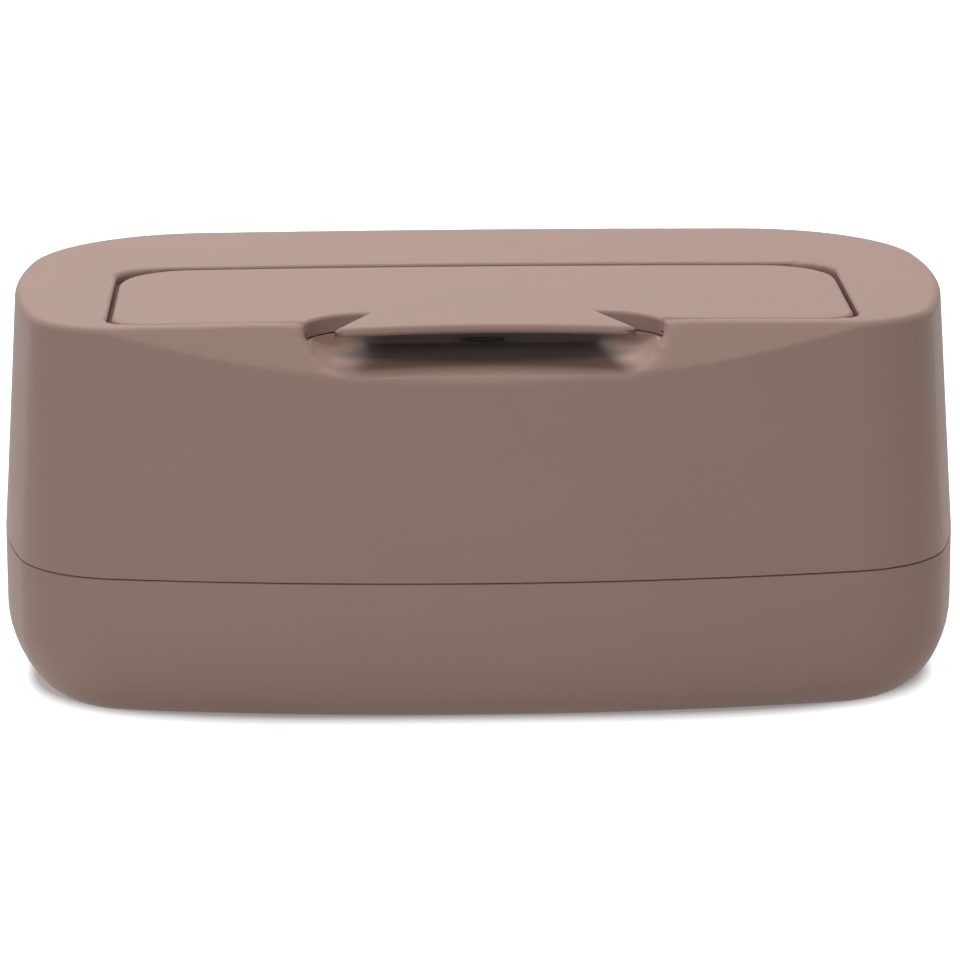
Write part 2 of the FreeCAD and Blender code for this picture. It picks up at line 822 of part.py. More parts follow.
def scoop_mouth():
    """The finger scoop's room: a wide, shallow mouth whose floor rises to the rear."""
    plan = scoop_plan("scoop_plan", BOWL_BOTTOM, D.overall_height + D.overrun)
    view = new_body("scoop_view")
    pad(view, front_view_sketch(view), D.overall_depth, True)
    tilt(view, D.scoop_floor_angle, -D.tongue_tip_place, LIP_HEIGHT)
    return common("scoop_mouth", plan, view)


def front_view_sketch(body):
    """The scoop seen from the front, above the lip: a wide U with round lower corners."""
    sketch = sketch_on(body, "scoop_view_outline", "XZ_Plane", 0)
    low, high = dim(0), D.lip_drop + D.overrun * 2
    half, radius = D.scoop_half_width, D.lip_corner_radius
    x, z0, z1, r = half.value, low.value, high.value, radius.value
    quarter = math.pi / 2
    shapes = [
        line((-x + r, z0), (x - r, z0)),
        arc((x - r, z0 + r), r, -quarter, 0),
        line((x, z0 + r), (x, z1)),
        line((x, z1), (-x, z1)),
        line((-x, z1), (-x, z0 + r)),
        arc((-x + r, z0 + r), r, 2 * quarter, 3 * quarter),
    ]
    sketch.addGeometry(shapes, False)
    for index in (0, 1, 4, 5):
        constrain(sketch, "Tangent", index, 2, (index + 1) % len(shapes), 1)
    for index in (2, 3):
        constrain(sketch, "Coincident", index, 2, index + 1, 1)
    for index in (0, 3):
        constrain(sketch, "Horizontal", index)
    for index in (2, 4):
        constrain(sketch, "Vertical", index)
    for index in (1, 5):
        constrain(sketch, "Radius", index, length=radius)
    pin_point(sketch, 0, 1, y=low)
    pin_point(sketch, 2, 1, x=half)
    pin_point(sketch, 4, 1, x=-half)
    pin_point(sketch, 3, 1, y=high)
    return sketch


def screw_places():
    """X and Y of each screw that holds the frame."""
    rear_y = OPENING_REAR + D.frame_wall + D.boss_radius + D.frame_fit
    side_x = OPENING_HALF_WIDTH + D.frame_wall + D.boss_radius + D.frame_fit
    outer_x = OPENING_HALF_WIDTH - D.rear_screw_inset
    for sign in (-1, 1):
        yield outer_x * sign, rear_y
        yield D.rear_screw_inner_place * sign, rear_y
        yield side_x * sign, -D.side_screw_place


# frame under the cover
def make_frame():
    """Tub under the lid: walls up to the ceiling, deck with the mouth, hinge gutter and cheeks."""
    tub = opening_prism("tub_outside", DECK_BOTTOM, CEILING, D.frame_wall)
    flange = rounded_block(
        "frame_flange",
        DECK_BOTTOM,
        DECK_TOP,
        OPENING_HALF_WIDTH + D.flange_reach,
        OPENING_FRONT - D.frame_wall,
        OPENING_REAR + D.flange_reach,
        D.flange_corner_radius,
    )
    tub_room = opening_prism("tub_room", DECK_TOP, CEILING + D.overrun)
    gutter_block = gutter("gutter_block", D.gutter_wall, CEILING)
    gutter_room = gutter("gutter_room", 0, CEILING + D.overrun)
    mouth = mouth_block("mouth_hole", DECK_BOTTOM - D.overrun, D.overall_height, 0)
    mouth_rim = mouth_block("mouth_rim", DECK_BOTTOM, MOUTH_RIM_TOP, D.mouth_rim_wall)
    walls = cut("frame_walls", fuse("frame_solid", tub, flange, gutter_block), tub_room, gutter_room)
    holes = [
        upright(
            f"frame_hole_{index}",
            D.screw_radius + D.screw_clearance,
            x,
            y,
            DECK_BOTTOM - D.overrun,
            DECK_TOP + D.frame_fit,
        )
        for index, (x, y) in enumerate(screw_places())
    ]
    room = inner_envelope("frame_room", D.shell_wall + D.frame_fit, D.parting_height)
    with_rim = fuse("frame_with_rim", walls, mouth_rim, *make_cheeks())
    fitted = common("frame_fitted", with_rim, room)
    pins = [
        cross_rod(f"cheek_bore_{side}", D.pin_radius, x, pin_half_length(), HINGE_Y, HINGE_Z)
        for side, x in knuckle_places()
    ]
    bowl = bowl_outside("frame_bowl_clear", D.overall_height, D.frame_fit)
    node("lid_frame", cut("lid_frame", fitted, mouth, bowl, *holes, *pins))


def gutter(name, wall, top):
    """Round-bottomed room behind the hinge axis, in which the lid's rear edge swings."""
    rod = cross_rod(
        f"{name}_rod", SWING_RADIUS + wall, 0, GUTTER_HALF_LENGTH + wall, HINGE_Y, HINGE_Z
    )
    low = HINGE_Z - SWING_RADIUS - D.overrun
    rear = HINGE_Y + SWING_RADIUS + D.overrun
    half = box(f"{name}_half", 0, GUTTER_HALF_LENGTH + wall, GUTTER_FRONT - wall, rear, low, top)
    return common(name, rod, half)


def mouth_block(name, bottom, top, grow):
    """The dispensing mouth's plan as an upright block."""
    return rounded_block(
        name,
        bottom,
        top,
        MOUTH_HALF_WIDTH + grow,
        MOUTH_FRONT - grow,
        MOUTH_REAR + grow,
        D.mouth_corner_radius + grow,
    )


def knuckle_places():
    """Side name and X of each hinge knuckle."""
    return (("left", -KNUCKLE_X), ("right", KNUCKLE_X))


def cheek_places():
    """Name and X middle of each of the four hinge cheeks."""
    offset = D.knuckle_width / 2 + D.cheek_gap + D.cheek_width / 2
    for side, x in knuckle_places():
        yield f"{side}_outer", x + offset * (1 if side == "right" else -1)
        yield f"{side}_inner", x - offset * (1 if side == "right" else -1)


def make_cheeks():
    """Four posts on the gutter's floor that carry the hinge pins."""
    cheeks = []
    for name, x in cheek_places():
        cheeks.append(cross_rod(f"cheek_{name}", D.cheek_radius, x, D.cheek_width / 2, HINGE_Y, HINGE_Z))
        cheeks.append(
            box(
                f"cheek_web_{name}",
                x,
                D.cheek_width / 2,
                HINGE_Y - D.cheek_radius,
                HINGE_Y + D.cheek_web_rear,
                HINGE_Z - SWING_RADIUS - D.gutter_wall / 2,
                HINGE_Z,
            )
        )
    return cheeks


def pin_half_length():
    """Half of a hinge pin's length: the knuckle, two gaps and most of two cheeks."""
    return D.knuckle_width / 2 + D.cheek_gap + D.cheek_width - D.pin_inset


def make_pins():
    """Two stub pins, held in the cheeks, on which the lid's knuckles turn."""
    for side, x in knuckle_places():
        name = f"hinge_pin_{side}"
        node(name, cross_rod(name, D.pin_radius, x, pin_half_length(), HINGE_Y, HINGE_Z))


def screw(name, x, y, seat, radius, length, head_radius, head_height):
    """Screw driven upwards, with its head under the seat."""
    shank = upright(f"{name}_shank", radius, x, y, seat - head_height / 2, seat + length)
    head = upright(f"{name}_head", head_radius, x, y, seat - head_height, seat)
    return fuse(name, shank, head)


def make_frame_screws():
    """Six screws, one group."""
    screws = [
        screw(
            f"frame_screw_{index}",
            x,
            y,
            DECK_BOTTOM,
            D.screw_radius,
            D.screw_length,
            D.screw_head_radius,
            D.screw_head_height,
        )
        for index, (x, y) in enumerate(screw_places())
    ]
    node("frame_screws", compound("frame_screws", screws))


def compound(name, things):
    """Group of separate solids."""
    group = DOC.addObject("Part::Compound", name)
    group.Links = things
    return group


def make_catch_plate():
    """Steel strip in the slit behind the scoop, under the lid's magnet."""
    node(
        "catch_plate",
        box(
            "catch_plate",
            0,
            D.catch_half_width,
            SCOOP_BACK + D.catch_recess,
            SCOOP_BACK + D.catch_reach,
            DECK_TOP,
            DECK_TOP + D.catch_thickness,
        ),
    )


# lid
def lid_block(name, bottom, top, inset):
    """The lid's plan as an upright block."""
    return rounded_block(
        name,
        bottom,
        top,
        LID_HALF_WIDTH - inset,
        LID_FRONT + inset,
        LID_REAR - inset,
        D.lid_front_radius - inset,
        D.lid_rear_radius - inset,
    )


def make_lid_skin():
    """The lid's outer skin, with its skirt, its notch over the scoop and the tongue."""
    block = lid_block("skin_block", SKIRT_BOTTOM, D.overall_height + D.overrun, dim(0))
    room = lid_block("skin_room", SKIRT_BOTTOM - D.overrun, SKIN_UNDERSIDE, D.skirt_wall)
    rear_room = box(
        "skin_rear_room",
        0,
        LID_HALF_WIDTH - D.lid_rear_radius,
        HINGE_Y,
        LID_REAR + D.overrun,
        SKIRT_BOTTOM - D.overrun,
        SKIN_UNDERSIDE,
    )
    kept = scoop_plan("skin_notch_wall", SKIRT_BOTTOM - D.overrun, D.overall_height, D.skirt_wall)
    hollow = cut("skin_hollow", fuse("skin_rooms", room, rear_room), kept)
    notch = scoop_plan("skin_notch", SKIRT_BOTTOM - D.overrun, D.overall_height + D.overrun * 2)
    plate = cut("skin_plate", block, hollow, notch)
    whole = fuse("skin_whole", plate, make_tongue(), *make_stakes())
    crowned = common("lid_crowned", whole, crown_cylinder("lid_crown"))
    upper = D.overall_height - D.lid_thickness / 2
    node("lid_skin", round_edges(crowned, D.lid_edge_round, lambda edge: edge.BoundBox.ZMin > upper.value))


def make_tongue():
    """Dovetail tongue that reaches over the scoop, with a slightly hollow front edge."""
    body = new_body("tongue")
    root_y = SCOOP_BACK + D.tongue_root_overlap
    bottom = D.overall_height - D.tongue_thickness
    sketch = sketch_on(body, "tongue_plan", "XY_Plane", bottom)
    root_x, tip_x = D.scoop_half_width - D.scoop_corner_radius, D.tongue_tip_half_width
    tip_y = -D.tongue_tip_place
    hollow = D.tongue_hollow
    radius = (tip_x * tip_x + hollow * hollow) / (hollow * 2)
    centre_y = tip_y + hollow - radius
    turn = math.atan2((tip_y - centre_y).value, tip_x.value)
    shapes = [
        line((-root_x.value, root_y.value), (-root_x.value, SCOOP_BACK.value)),
        line((-root_x.value, SCOOP_BACK.value), (-tip_x.value, tip_y.value)),
        arc((0, centre_y.value), radius.value, turn, math.pi - turn),
        line((tip_x.value, tip_y.value), (root_x.value, SCOOP_BACK.value)),
        line((root_x.value, SCOOP_BACK.value), (root_x.value, root_y.value)),
        line((root_x.value, root_y.value), (-root_x.value, root_y.value)),
    ]
    sketch.addGeometry(shapes, False)
    for first, first_end, second, second_end in (
        (0, 2, 1, 1),
        (1, 2, 2, 2),
        (2, 1, 3, 1),
        (3, 2, 4, 1),
        (4, 2, 5, 1),
        (5, 2, 0, 1),
    ):
        constrain(sketch, "Coincident", first, first_end, second, second_end)
    pin_point(sketch, 0, 1, x=-root_x, y=root_y)
    pin_point(sketch, 1, 1, x=-root_x, y=SCOOP_BACK)
    pin_point(sketch, 1, 2, x=-tip_x, y=tip_y)
    pin_point(sketch, 3, 1, x=tip_x, y=tip_y)
    pin_point(sketch, 3, 2, x=root_x, y=SCOOP_BACK)
    pin_point(sketch, 4, 2, x=root_x, y=root_y)
    constrain(sketch, "Radius", 2, length=radius)
    pad(body, sketch, D.tongue_thickness + D.overrun)
    return body


def stake_places():
    """Index, X and Y of each stake that holds the panel to the skin."""
    spots = [
        ((LID_HALF_WIDTH - D.stake_inset) * sign, y)
        for sign in (-1, 1)
        for y in (-D.stake_front_place, -D.stake_rear_place)
    ]
    return list(enumerate(spots))


def make_stakes():
    """Four stakes of the skin, with their melted heads under the panel."""
    stakes = []
    stake_top = SKIN_UNDERSIDE + D.lid_thickness / 2
    for index, (x, y) in stake_places():
        stakes.append(upright(f"stake_{index}", D.stake_radius, x, y, PANEL_BOTTOM, stake_top))
        stakes.append(
            upright(
                f"stake_head_{index}",
                D.stake_head_radius,
                x,
                y,
                PANEL_BOTTOM - D.stake_head_height,
                PANEL_BOTTOM,
            )
        )
    return stakes


def make_lid_panel():
    """Inner panel with the hinge knuckles, the gasket groove and the magnet's pocket."""
    inset = D.skirt_wall + D.panel_fit
    block = rounded_block(
        "panel_block",
        PANEL_BOTTOM,
        SKIN_UNDERSIDE,
        LID_HALF_WIDTH - inset,
        -D.panel_front_place,
        HINGE_Y,
        D.panel_corner_radius,
    )
    room = lid_block("panel_room", PANEL_BOTTOM - D.overrun, SKIN_UNDERSIDE + D.overrun, inset)
    plate = common("panel_plate", block, room)
    knuckles = []
    for side, x in knuckle_places():
        knuckles.append(
            cross_rod(f"knuckle_{side}", D.knuckle_radius, x, D.knuckle_width / 2, HINGE_Y, HINGE_Z)
        )
        knuckles.append(
            box(
                f"knuckle_root_{side}",
                x,
                D.knuckle_width / 2,
                HINGE_Y - D.knuckle_radius,
                HINGE_Y,
                HINGE_Z,
                SKIN_UNDERSIDE,
            )
        )
    windows = []
    for name, x in cheek_places():
        windows.append(
            box(
                f"cheek_window_{name}",
                x,
                D.cheek_width / 2 + D.cheek_gap,
                HINGE_Y - D.cheek_radius - D.cheek_gap * 2,
                HINGE_Y + D.overrun,
                PANEL_BOTTOM - D.overrun,
                SKIN_UNDERSIDE,
            )
        )
    holder = box(
        "magnet_holder",
        0,
        D.magnet_half_width + D.magnet_wall,
        -D.panel_front_place,
        -D.panel_front_place + D.magnet_depth + D.magnet_wall * 2,
        PANEL_BOTTOM - D.magnet_drop,
        SKIN_UNDERSIDE,
    )
    pocket = magnet_box("magnet_pocket", D.overrun)
    groove = gasket_ring("gasket_groove", PANEL_BOTTOM - D.overrun)
    bores = [
        cross_rod(
            f"knuckle_bore_{side}",
            D.pin_radius + D.pin_clearance,
            x,
            D.knuckle_width,
            HINGE_Y,
            HINGE_Z,
        )
        for side, x in knuckle_places()
    ]
    holes = [
        upright(f"stake_hole_{index}", D.stake_radius, x, y, PANEL_BOTTOM - D.overrun, D.overall_height)
        for index, (x, y) in stake_places()
    ]
    body = fuse("panel_body", plate, holder, *knuckles)
    node("lid_panel", cut("lid_panel", body, pocket, groove, *windows, *bores, *holes))


def magnet_box(name, extra):
    """The magnet's place in its holder; extra opens it downwards."""
    front = -D.panel_front_place + D.magnet_wall
    bottom = PANEL_BOTTOM - D.magnet_drop
    return box(
        name,
        0,
        D.magnet_half_width,
        front,
        front + D.magnet_depth,
        bottom - extra,
        bottom + D.magnet_height,
    )


def gasket_ring(name, bottom):
    """Ring over the mouth's rim, up to the floor of the panel's groove."""
    reach = (D.gasket_width - D.mouth_rim_wall) / 2
    top = PANEL_BOTTOM + D.gasket_groove
    outer = mouth_block(f"{name}_outer", bottom, top, D.mouth_rim_wall + reach)
    inner = mouth_block(f"{name}_inner", bottom - D.overrun, top + D.overrun, -reach)
    return cut(name, outer, inner)


# press plate
def slot_block(name, bottom, top, grow):
    """The press plate's dispensing slot as an upright block."""
    return rounded_block(
        name,
        bottom,
        top,
        SLOT_HALF_WIDTH + grow,
        SLOT_FRONT - grow,
        SLOT_REAR + grow,
        SLOT_CORNER + grow,
    )


def plate_block(name, bottom, top, inset):
    """The press plate's plan as an upright block."""
    return rounded_block(
        name,
        bottom,
        top,
        PLATE_HALF_WIDTH - inset,
        -PLATE_HALF_DEPTH + inset,
        PLATE_HALF_DEPTH - inset,
        D.plate_corner_radius - inset,
    )


def plate_screw_places():
    """X and Y of each screw under the press plate."""
    screw_x = PLATE_HALF_WIDTH - D.plate_screw_side_inset
    screw_y = PLATE_HALF_DEPTH - D.plate_screw_end_inset
    for sign in (-1, 1):
        for end in (-1, 1):
            yield screw_x * sign, screw_y * end


def make_press_plate():
    """Hollow plate that lies on the wipes, with a slot through which they are drawn."""
    block = plate_block("plate_block", TRAY_FLOOR, PLATE_TOP, dim(0))
    cap_top = TRAY_FLOOR + D.plate_cap_thickness
    room = plate_block("plate_room", TRAY_FLOOR - D.overrun, PLATE_TOP - D.plate_wall, D.plate_wall)
    slot_wall = slot_block("plate_slot_wall", TRAY_FLOOR, PLATE_TOP, D.slot_wall)
    slot = slot_block("plate_slot", TRAY_FLOOR - D.overrun, PLATE_TOP + D.overrun, 0)
    bosses = [
        upright(f"plate_boss_{index}", D.plate_boss_radius, x, y, cap_top, PLATE_TOP - D.plate_wall / 2)
        for index, (x, y) in enumerate(plate_screw_places())
    ]
    pilot_top = cap_top + D.plate_screw_length
    pilots = [
        upright(f"plate_pilot_{index}", D.plate_screw_radius, x, y, TRAY_FLOOR, pilot_top)
        for index, (x, y) in enumerate(plate_screw_places())
    ]
    shell = cut("plate_shell", block, cut("plate_room_cut", room, slot_wall))
    body = cut("plate_sharp", fuse("plate_full", shell, *bosses), slot, *pilots)
    top = PLATE_TOP

    def on_top(edge):
        return lies_at_height(edge, top)

    node("press_plate", round_edges(body, D.plate_round, on_top))
    make_plate_cap(cap_top)
    make_weights(cap_top)


def make_plate_cap(cap_top):
    """Flat cap that closes the press plate from below."""
    flat = plate_block("cap_flat", TRAY_FLOOR, cap_top, D.plate_wall + D.plate_cap_fit)
    low, high = TRAY_FLOOR - D.overrun, cap_top + D.overrun
    clear = slot_block("cap_slot", low, high, D.slot_wall + D.plate_cap_fit)
    holes = []
    for index, (x, y) in enumerate(plate_screw_places()):
        holes.append(upright(f"cap_hole_{index}", D.plate_screw_radius, x, y, low, high))
        holes.append(
            upright(
                f"cap_sink_{index}",
                D.plate_screw_head_radius + D.plate_cap_fit,
                x,
                y,
                TRAY_FLOOR - D.overrun,
                TRAY_FLOOR + D.plate_screw_head_height,
            )
        )
    node("press_plate_cap", cut("press_plate_cap", flat, clear, *holes))
    screws = [
        screw(
            f"plate_screw_{index}",
            x,
            y,
            TRAY_FLOOR + D.plate_screw_head_height,
            D.plate_screw_radius,
            D.plate_screw_length,
            D.plate_screw_head_radius,
            D.plate_screw_head_height,
        )
        for index, (x, y) in enumerate(plate_screw_places())
    ]
    node("press_plate_screws", compound("press_plate_screws", screws))


def make_weights(cap_top):
    """Two steel bars between the cap and the plate's top."""
    for side, sign in (("left", -1), ("right", 1)):
        name = f"press_weight_{side}"
        bar = rounded_block(
            name,
            cap_top,
            cap_top + D.weight_thickness,
            (WEIGHT_OUTER - WEIGHT_INNER) / 2,
            -WEIGHT_HALF_DEPTH,
            WEIGHT_HALF_DEPTH,
            D.weight_corner_radius,
            shift=(WEIGHT_OUTER + WEIGHT_INNER) / 2 * sign,
        )
        node(name, bar)


# build and export
def check_document():
    """Stop when any object failed or any sub-part is empty or not valid."""
    DOC.recompute()
    for item in DOC.Objects:
        if "Invalid" in item.State or "Error" in item.State:
            raise RuntimeError(f"{item.Name} failed: {item.State}")
    for name, thing in NODES.items():
        if thing.Shape.isNull() or not thing.Shape.isValid() or not thing.Shape.Solids:
            raise RuntimeError(f"{name} has no valid solid")


def export_nodes():
    """Write each sub-part as its own STEP file."""
    os.makedirs("parts", exist_ok=True)
    for name, thing in NODES.items():
        thing.Shape.exportStep(f"parts/{name}.step")
        room = thing.Shape.BoundBox
        print(
            f"{name:20s} solids {len(thing.Shape.Solids)} volume {thing.Shape.Volume:10.1f}"
            f" x {room.XMin:7.2f} {room.XMax:7.2f} y {room.YMin:7.2f} {room.YMax:7.2f}"
            f" z {room.ZMin:6.2f} {room.ZMax:6.2f}"
        )


make_tray()
make_feet()
node("rim_seal", seal_ring("rim_seal", 0))
make_cover()
make_frame()
make_frame_screws()
make_catch_plate()
make_pins()
make_lid_skin()
make_lid_panel()
node("lid_gasket", gasket_ring("lid_gasket", MOUTH_RIM_TOP))
node("lid_magnet", magnet_box("lid_magnet", 0))
make_press_plate()
check_document()
export_nodes()
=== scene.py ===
"""Countertop wipes dispenser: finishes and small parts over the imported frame."""

import json
import logging
import math
import operator
from dataclasses import dataclass, field
from enum import Enum
from functools import reduce
from typing import Any, Callable, ClassVar, Iterable, Mapping, Optional, Sequence, Union

import bmesh
import bpy
import numpy as np
from bpy.types import ID, Material, Mesh, Node, NodeSocket, NodeTree, Object
from mathutils import Matrix, Vector
from mathutils.kdtree import KDTree

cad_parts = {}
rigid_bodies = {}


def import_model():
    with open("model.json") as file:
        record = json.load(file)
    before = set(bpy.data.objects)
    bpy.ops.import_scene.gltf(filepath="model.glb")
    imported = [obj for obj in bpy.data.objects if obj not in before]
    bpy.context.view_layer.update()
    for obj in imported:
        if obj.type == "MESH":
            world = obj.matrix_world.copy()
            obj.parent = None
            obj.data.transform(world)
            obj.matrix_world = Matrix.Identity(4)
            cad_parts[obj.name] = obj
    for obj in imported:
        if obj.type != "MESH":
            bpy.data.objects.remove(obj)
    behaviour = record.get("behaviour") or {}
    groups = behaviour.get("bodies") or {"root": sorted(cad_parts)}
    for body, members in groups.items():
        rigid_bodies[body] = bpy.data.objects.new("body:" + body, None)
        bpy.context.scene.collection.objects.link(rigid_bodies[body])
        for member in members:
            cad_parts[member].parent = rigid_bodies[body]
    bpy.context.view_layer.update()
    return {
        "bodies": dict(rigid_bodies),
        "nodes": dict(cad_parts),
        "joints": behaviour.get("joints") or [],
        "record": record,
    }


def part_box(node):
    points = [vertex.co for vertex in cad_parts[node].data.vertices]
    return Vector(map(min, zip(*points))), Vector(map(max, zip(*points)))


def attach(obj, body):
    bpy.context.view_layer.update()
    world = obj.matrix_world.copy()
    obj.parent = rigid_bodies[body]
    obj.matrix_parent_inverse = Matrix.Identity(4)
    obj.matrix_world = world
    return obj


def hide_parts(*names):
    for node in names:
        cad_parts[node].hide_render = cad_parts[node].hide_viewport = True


LOG = logging.getLogger("wipes_dispenser")

MM = 0.001
Pair = tuple[float, float]
Point = tuple[float, float, float]
Colour = tuple[float, float, float]
Socket = Union[str, int]
Number = Union["Wire", float]
Operator = Callable[["Wire", Number], "Wire"]
Chooser = Callable[[Vector], bool]


def placed(name: str, data: ID) -> Object:
    """Link a new object, with its mesh, lamp or camera, to the scene."""
    thing = bpy.data.objects.new(name, data)
    bpy.context.scene.collection.objects.link(thing)
    return thing


# node benches
def both_ways(operation: str) -> tuple[Operator, Operator]:
    """An operator on wires from a Math node's operation, and its reflected form."""

    def forward(wire: "Wire", other: Number) -> "Wire":
        """This value first."""
        return wire.joined(operation, wire, other)

    def reflected(wire: "Wire", other: float) -> "Wire":
        """The number first."""
        return wire.joined(operation, other, wire)

    return forward, reflected


@dataclass(frozen=True)
class Wire:
    """A node's output that takes part in sums."""

    bench: "Bench"
    socket: NodeSocket

    def joined(self, operation: str, *values: Number) -> "Wire":
        """The result of a Math node's operation on values in order."""
        node = self.bench.add("ShaderNodeMath", {"operation": operation}, dict(enumerate(values)))
        return node["Value"]

    __add__, __radd__ = both_ways("ADD")
    __sub__, __rsub__ = both_ways("SUBTRACT")
    __mul__, __rmul__ = both_ways("MULTIPLY")
    __truediv__, __rtruediv__ = both_ways("DIVIDE")

    def __abs__(self) -> "Wire":
        """Size without its sign."""
        return self.joined("ABSOLUTE", self)

    def powered(self, power: float) -> "Wire":
        """This value to a power."""
        return self.joined("POWER", self, power)

    @staticmethod
    def total(parts: Iterable["Wire"]) -> "Wire":
        """The sum of some wires."""
        return reduce(operator.add, parts)

    def between(self, low: float, high: float) -> "Wire":
        """Map low to 0 and high to 1, and stop there."""
        inputs = {"Value": self, "From Min": low, "From Max": high}
        return self.bench.add("ShaderNodeMapRange", {"clamp": True}, inputs)["Result"]


def find_socket(sockets: bpy.types.bpy_prop_collection, name: Socket) -> NodeSocket:
    """The input or output with this place, identifier or name."""
    if isinstance(name, int):
        return sockets[name]
    return next((socket for socket in sockets if socket.identifier == name), None) or sockets[name]


@dataclass(frozen=True)
class Made:
    """A node on a bench; indexing it gives an output as a Wire."""

    bench: "Bench"
    node: Node

    def __getitem__(self, name: Socket) -> Wire:
        """The named output."""
        return Wire(self.bench, find_socket(self.node.outputs, name))


@dataclass
class Bench:
    """A node tree and the ways to put nodes on it."""

    tree: NodeTree

    def add(
        self,
        kind: str,
        settings: Optional[Mapping[str, Any]] = None,
        inputs: Optional[Mapping[Socket, Any]] = None,
    ) -> Made:
        """Add one node.

        Args:
            kind: The node's type.
            settings: The node's own settings, set first.
            inputs: A value or a Wire for each named or numbered input.

        Returns:
            The node.
        """
        node = self.tree.nodes.new(kind)
        for name, value in (settings or {}).items():
            setattr(node, name, value)
        for name, value in (inputs or {}).items():
            socket = find_socket(node.inputs, name)
            if isinstance(value, Wire):
                self.tree.links.new(value.socket, socket)
            else:
                socket.default_value = value
        return Made(self, node)

    def link(self, wire: Wire, node: Made, name: Socket) -> None:
        """Join a wire to one input of a node."""
        self.tree.links.new(wire.socket, find_socket(node.node.inputs, name))

    def seen(self) -> Wire:
        """Whether a ray comes from the camera, by reflection or through glass: 1 or 0."""
        rays = self.add("ShaderNodeLightPath")
        kinds = (rays[f"Is {kind} Ray"] for kind in ("Camera", "Glossy", "Transmission"))
        return Wire.total(kinds).between(0.0, 1.0)


class Surface(Bench):
    """A material's bench, with the moves that the finishes share."""

    edge_samples = 6

    def __init__(self, name: str, colour: Colour) -> None:
        """Start an empty material.

        Args:
            name: The material's name.
            colour: The colour in plain views.
        """
        self.material = bpy.data.materials.new(name)
        self.material.use_nodes = True
        self.material.diffuse_color = (*colour, 1.0)
        super().__init__(self.material.node_tree)
        self.tree.nodes.clear()
        self.place = self.add("ShaderNodeTexCoord")["Object"]

    def parts(self) -> Made:
        """The place's X, Y and Z."""
        return self.add("ShaderNodeSeparateXYZ", None, {"Vector": self.place})

    def noise(self, size: float, detail: float, stretch: Point = (1.0, 1.0, 1.0)) -> Wire:
        """Noise of one grain size.

        Args:
            size: The grain's size in metres.
            detail: How many finer layers it has.
            stretch: How much longer the grain is along each axis.

        Returns:
            The noise, about 0.5 in the middle.
        """
        scale = tuple(1.0 / (size * part) for part in stretch)
        scaled = self.add("ShaderNodeMapping", None, {"Vector": self.place, "Scale": scale})
        inputs = {"Vector": scaled["Vector"], "Scale": 1.0, "Detail": detail}
        return self.add("ShaderNodeTexNoise", None, inputs)["Fac"]

    def tinted(self, colour: Union[Colour, Wire], share: Wire, other: Colour) -> Wire:
        """Mix two colours.

        Args:
            colour: The colour at share 0.
            share: The mix, from 0 to 1.
            other: The colour at share 1.

        Returns:
            The colour.
        """
        first = colour if isinstance(colour, Wire) else (*colour, 1.0)
        inputs = {"Factor_Float": share, "A_Color": first, "B_Color": (*other, 1.0)}
        return self.add("ShaderNodeMix", {"data_type": "RGBA"}, inputs)["Result_Color"]

    def relief(self, height: Wire, depth: float, softness: float) -> Wire:
        """Bump from a height of 0 to 1, over softened edges.

        Args:
            height: The height.
            depth: What a height of 1 stands for, in metres.
            softness: The radius to which sharp edges are rounded, in metres.

        Returns:
            The normal.
        """
        rounded = self.add("ShaderNodeBevel", {"samples": self.edge_samples}, {"Radius": softness})
        inputs = {"Height": height, "Distance": depth, "Strength": 1.0, "Normal": rounded["Normal"]}
        return self.add("ShaderNodeBump", None, inputs)["Normal"]

    def close(self, inputs: Mapping[Socket, Any]) -> Material:
        """End the material in one Principled shader with these inputs."""
        shader = self.add("ShaderNodeBsdfPrincipled", None, inputs)
        self.add("ShaderNodeOutputMaterial", None, {"Surface": shader["BSDF"]})
        return self.material


# finishes
@dataclass(frozen=True)
class PaintedScoopShade:
    """Painted shade in the finger scoop's recess under the tongue: the tongue's shadow and the
    hollow's darkness, painted into the plastic's colour as a darker patch.
    """

    shaded_floor_colour: Colour = (0.176, 0.150, 0.136)
    shaded_wall_colour: Colour = (0.235, 0.208, 0.188)
    wall_foot: float = 83.9 * MM
    wall_start: float = 85.0 * MM
    front: float = -52.8 * MM
    deep: float = -49.4 * MM
    bow_per_metre: float = 2.9
    back: float = -40.0 * MM
    rear: float = -36.0 * MM
    rear_half_width: float = 26.8 * MM
    spread: float = 0.80
    softness: float = 2.2 * MM
    top: float = 89.0 * MM
    fade: float = 1.0 * MM

    def tint(self, surface: Surface, colour: Wire) -> Wire:
        """Paint the shade into the plastic's colour, darker over the recess's floor and rear wall.

        Args:
            surface: The plastic.
            colour: Its colour outside the recess.

        Returns:
            The colour everywhere.
        """
        parts = surface.parts()
        share = self.share(parts)
        wall = share * parts["Z"].between(self.wall_foot, self.wall_start)
        floor = surface.tinted(colour, share, self.shaded_floor_colour)
        return surface.tinted(floor, wall, self.shaded_wall_colour)

    def share(self, parts: Made) -> Wire:
        """How far a point is into the painted shade: its front is bowed and its sides spread
        forward, as the tongue's shadow does.

        Args:
            parts: The point's X, Y and Z.

        Returns:
            The share, from 0 to 1.
        """
        aside = abs(parts["X"])
        reach = aside - (self.back - parts["Y"]).between(0.0, 1.0) * self.spread
        behind = (parts["Y"] - aside * aside * self.bow_per_metre).between(self.front, self.deep)
        before = 1.0 - parts["Y"].between(self.rear - self.fade, self.rear)
        edges = (self.rear_half_width + sign * self.softness for sign in (-1, 1))
        inside = 1.0 - reach.between(*edges)
        below = 1.0 - parts["Z"].between(self.top - self.fade, self.top)
        return behind * before * inside * below


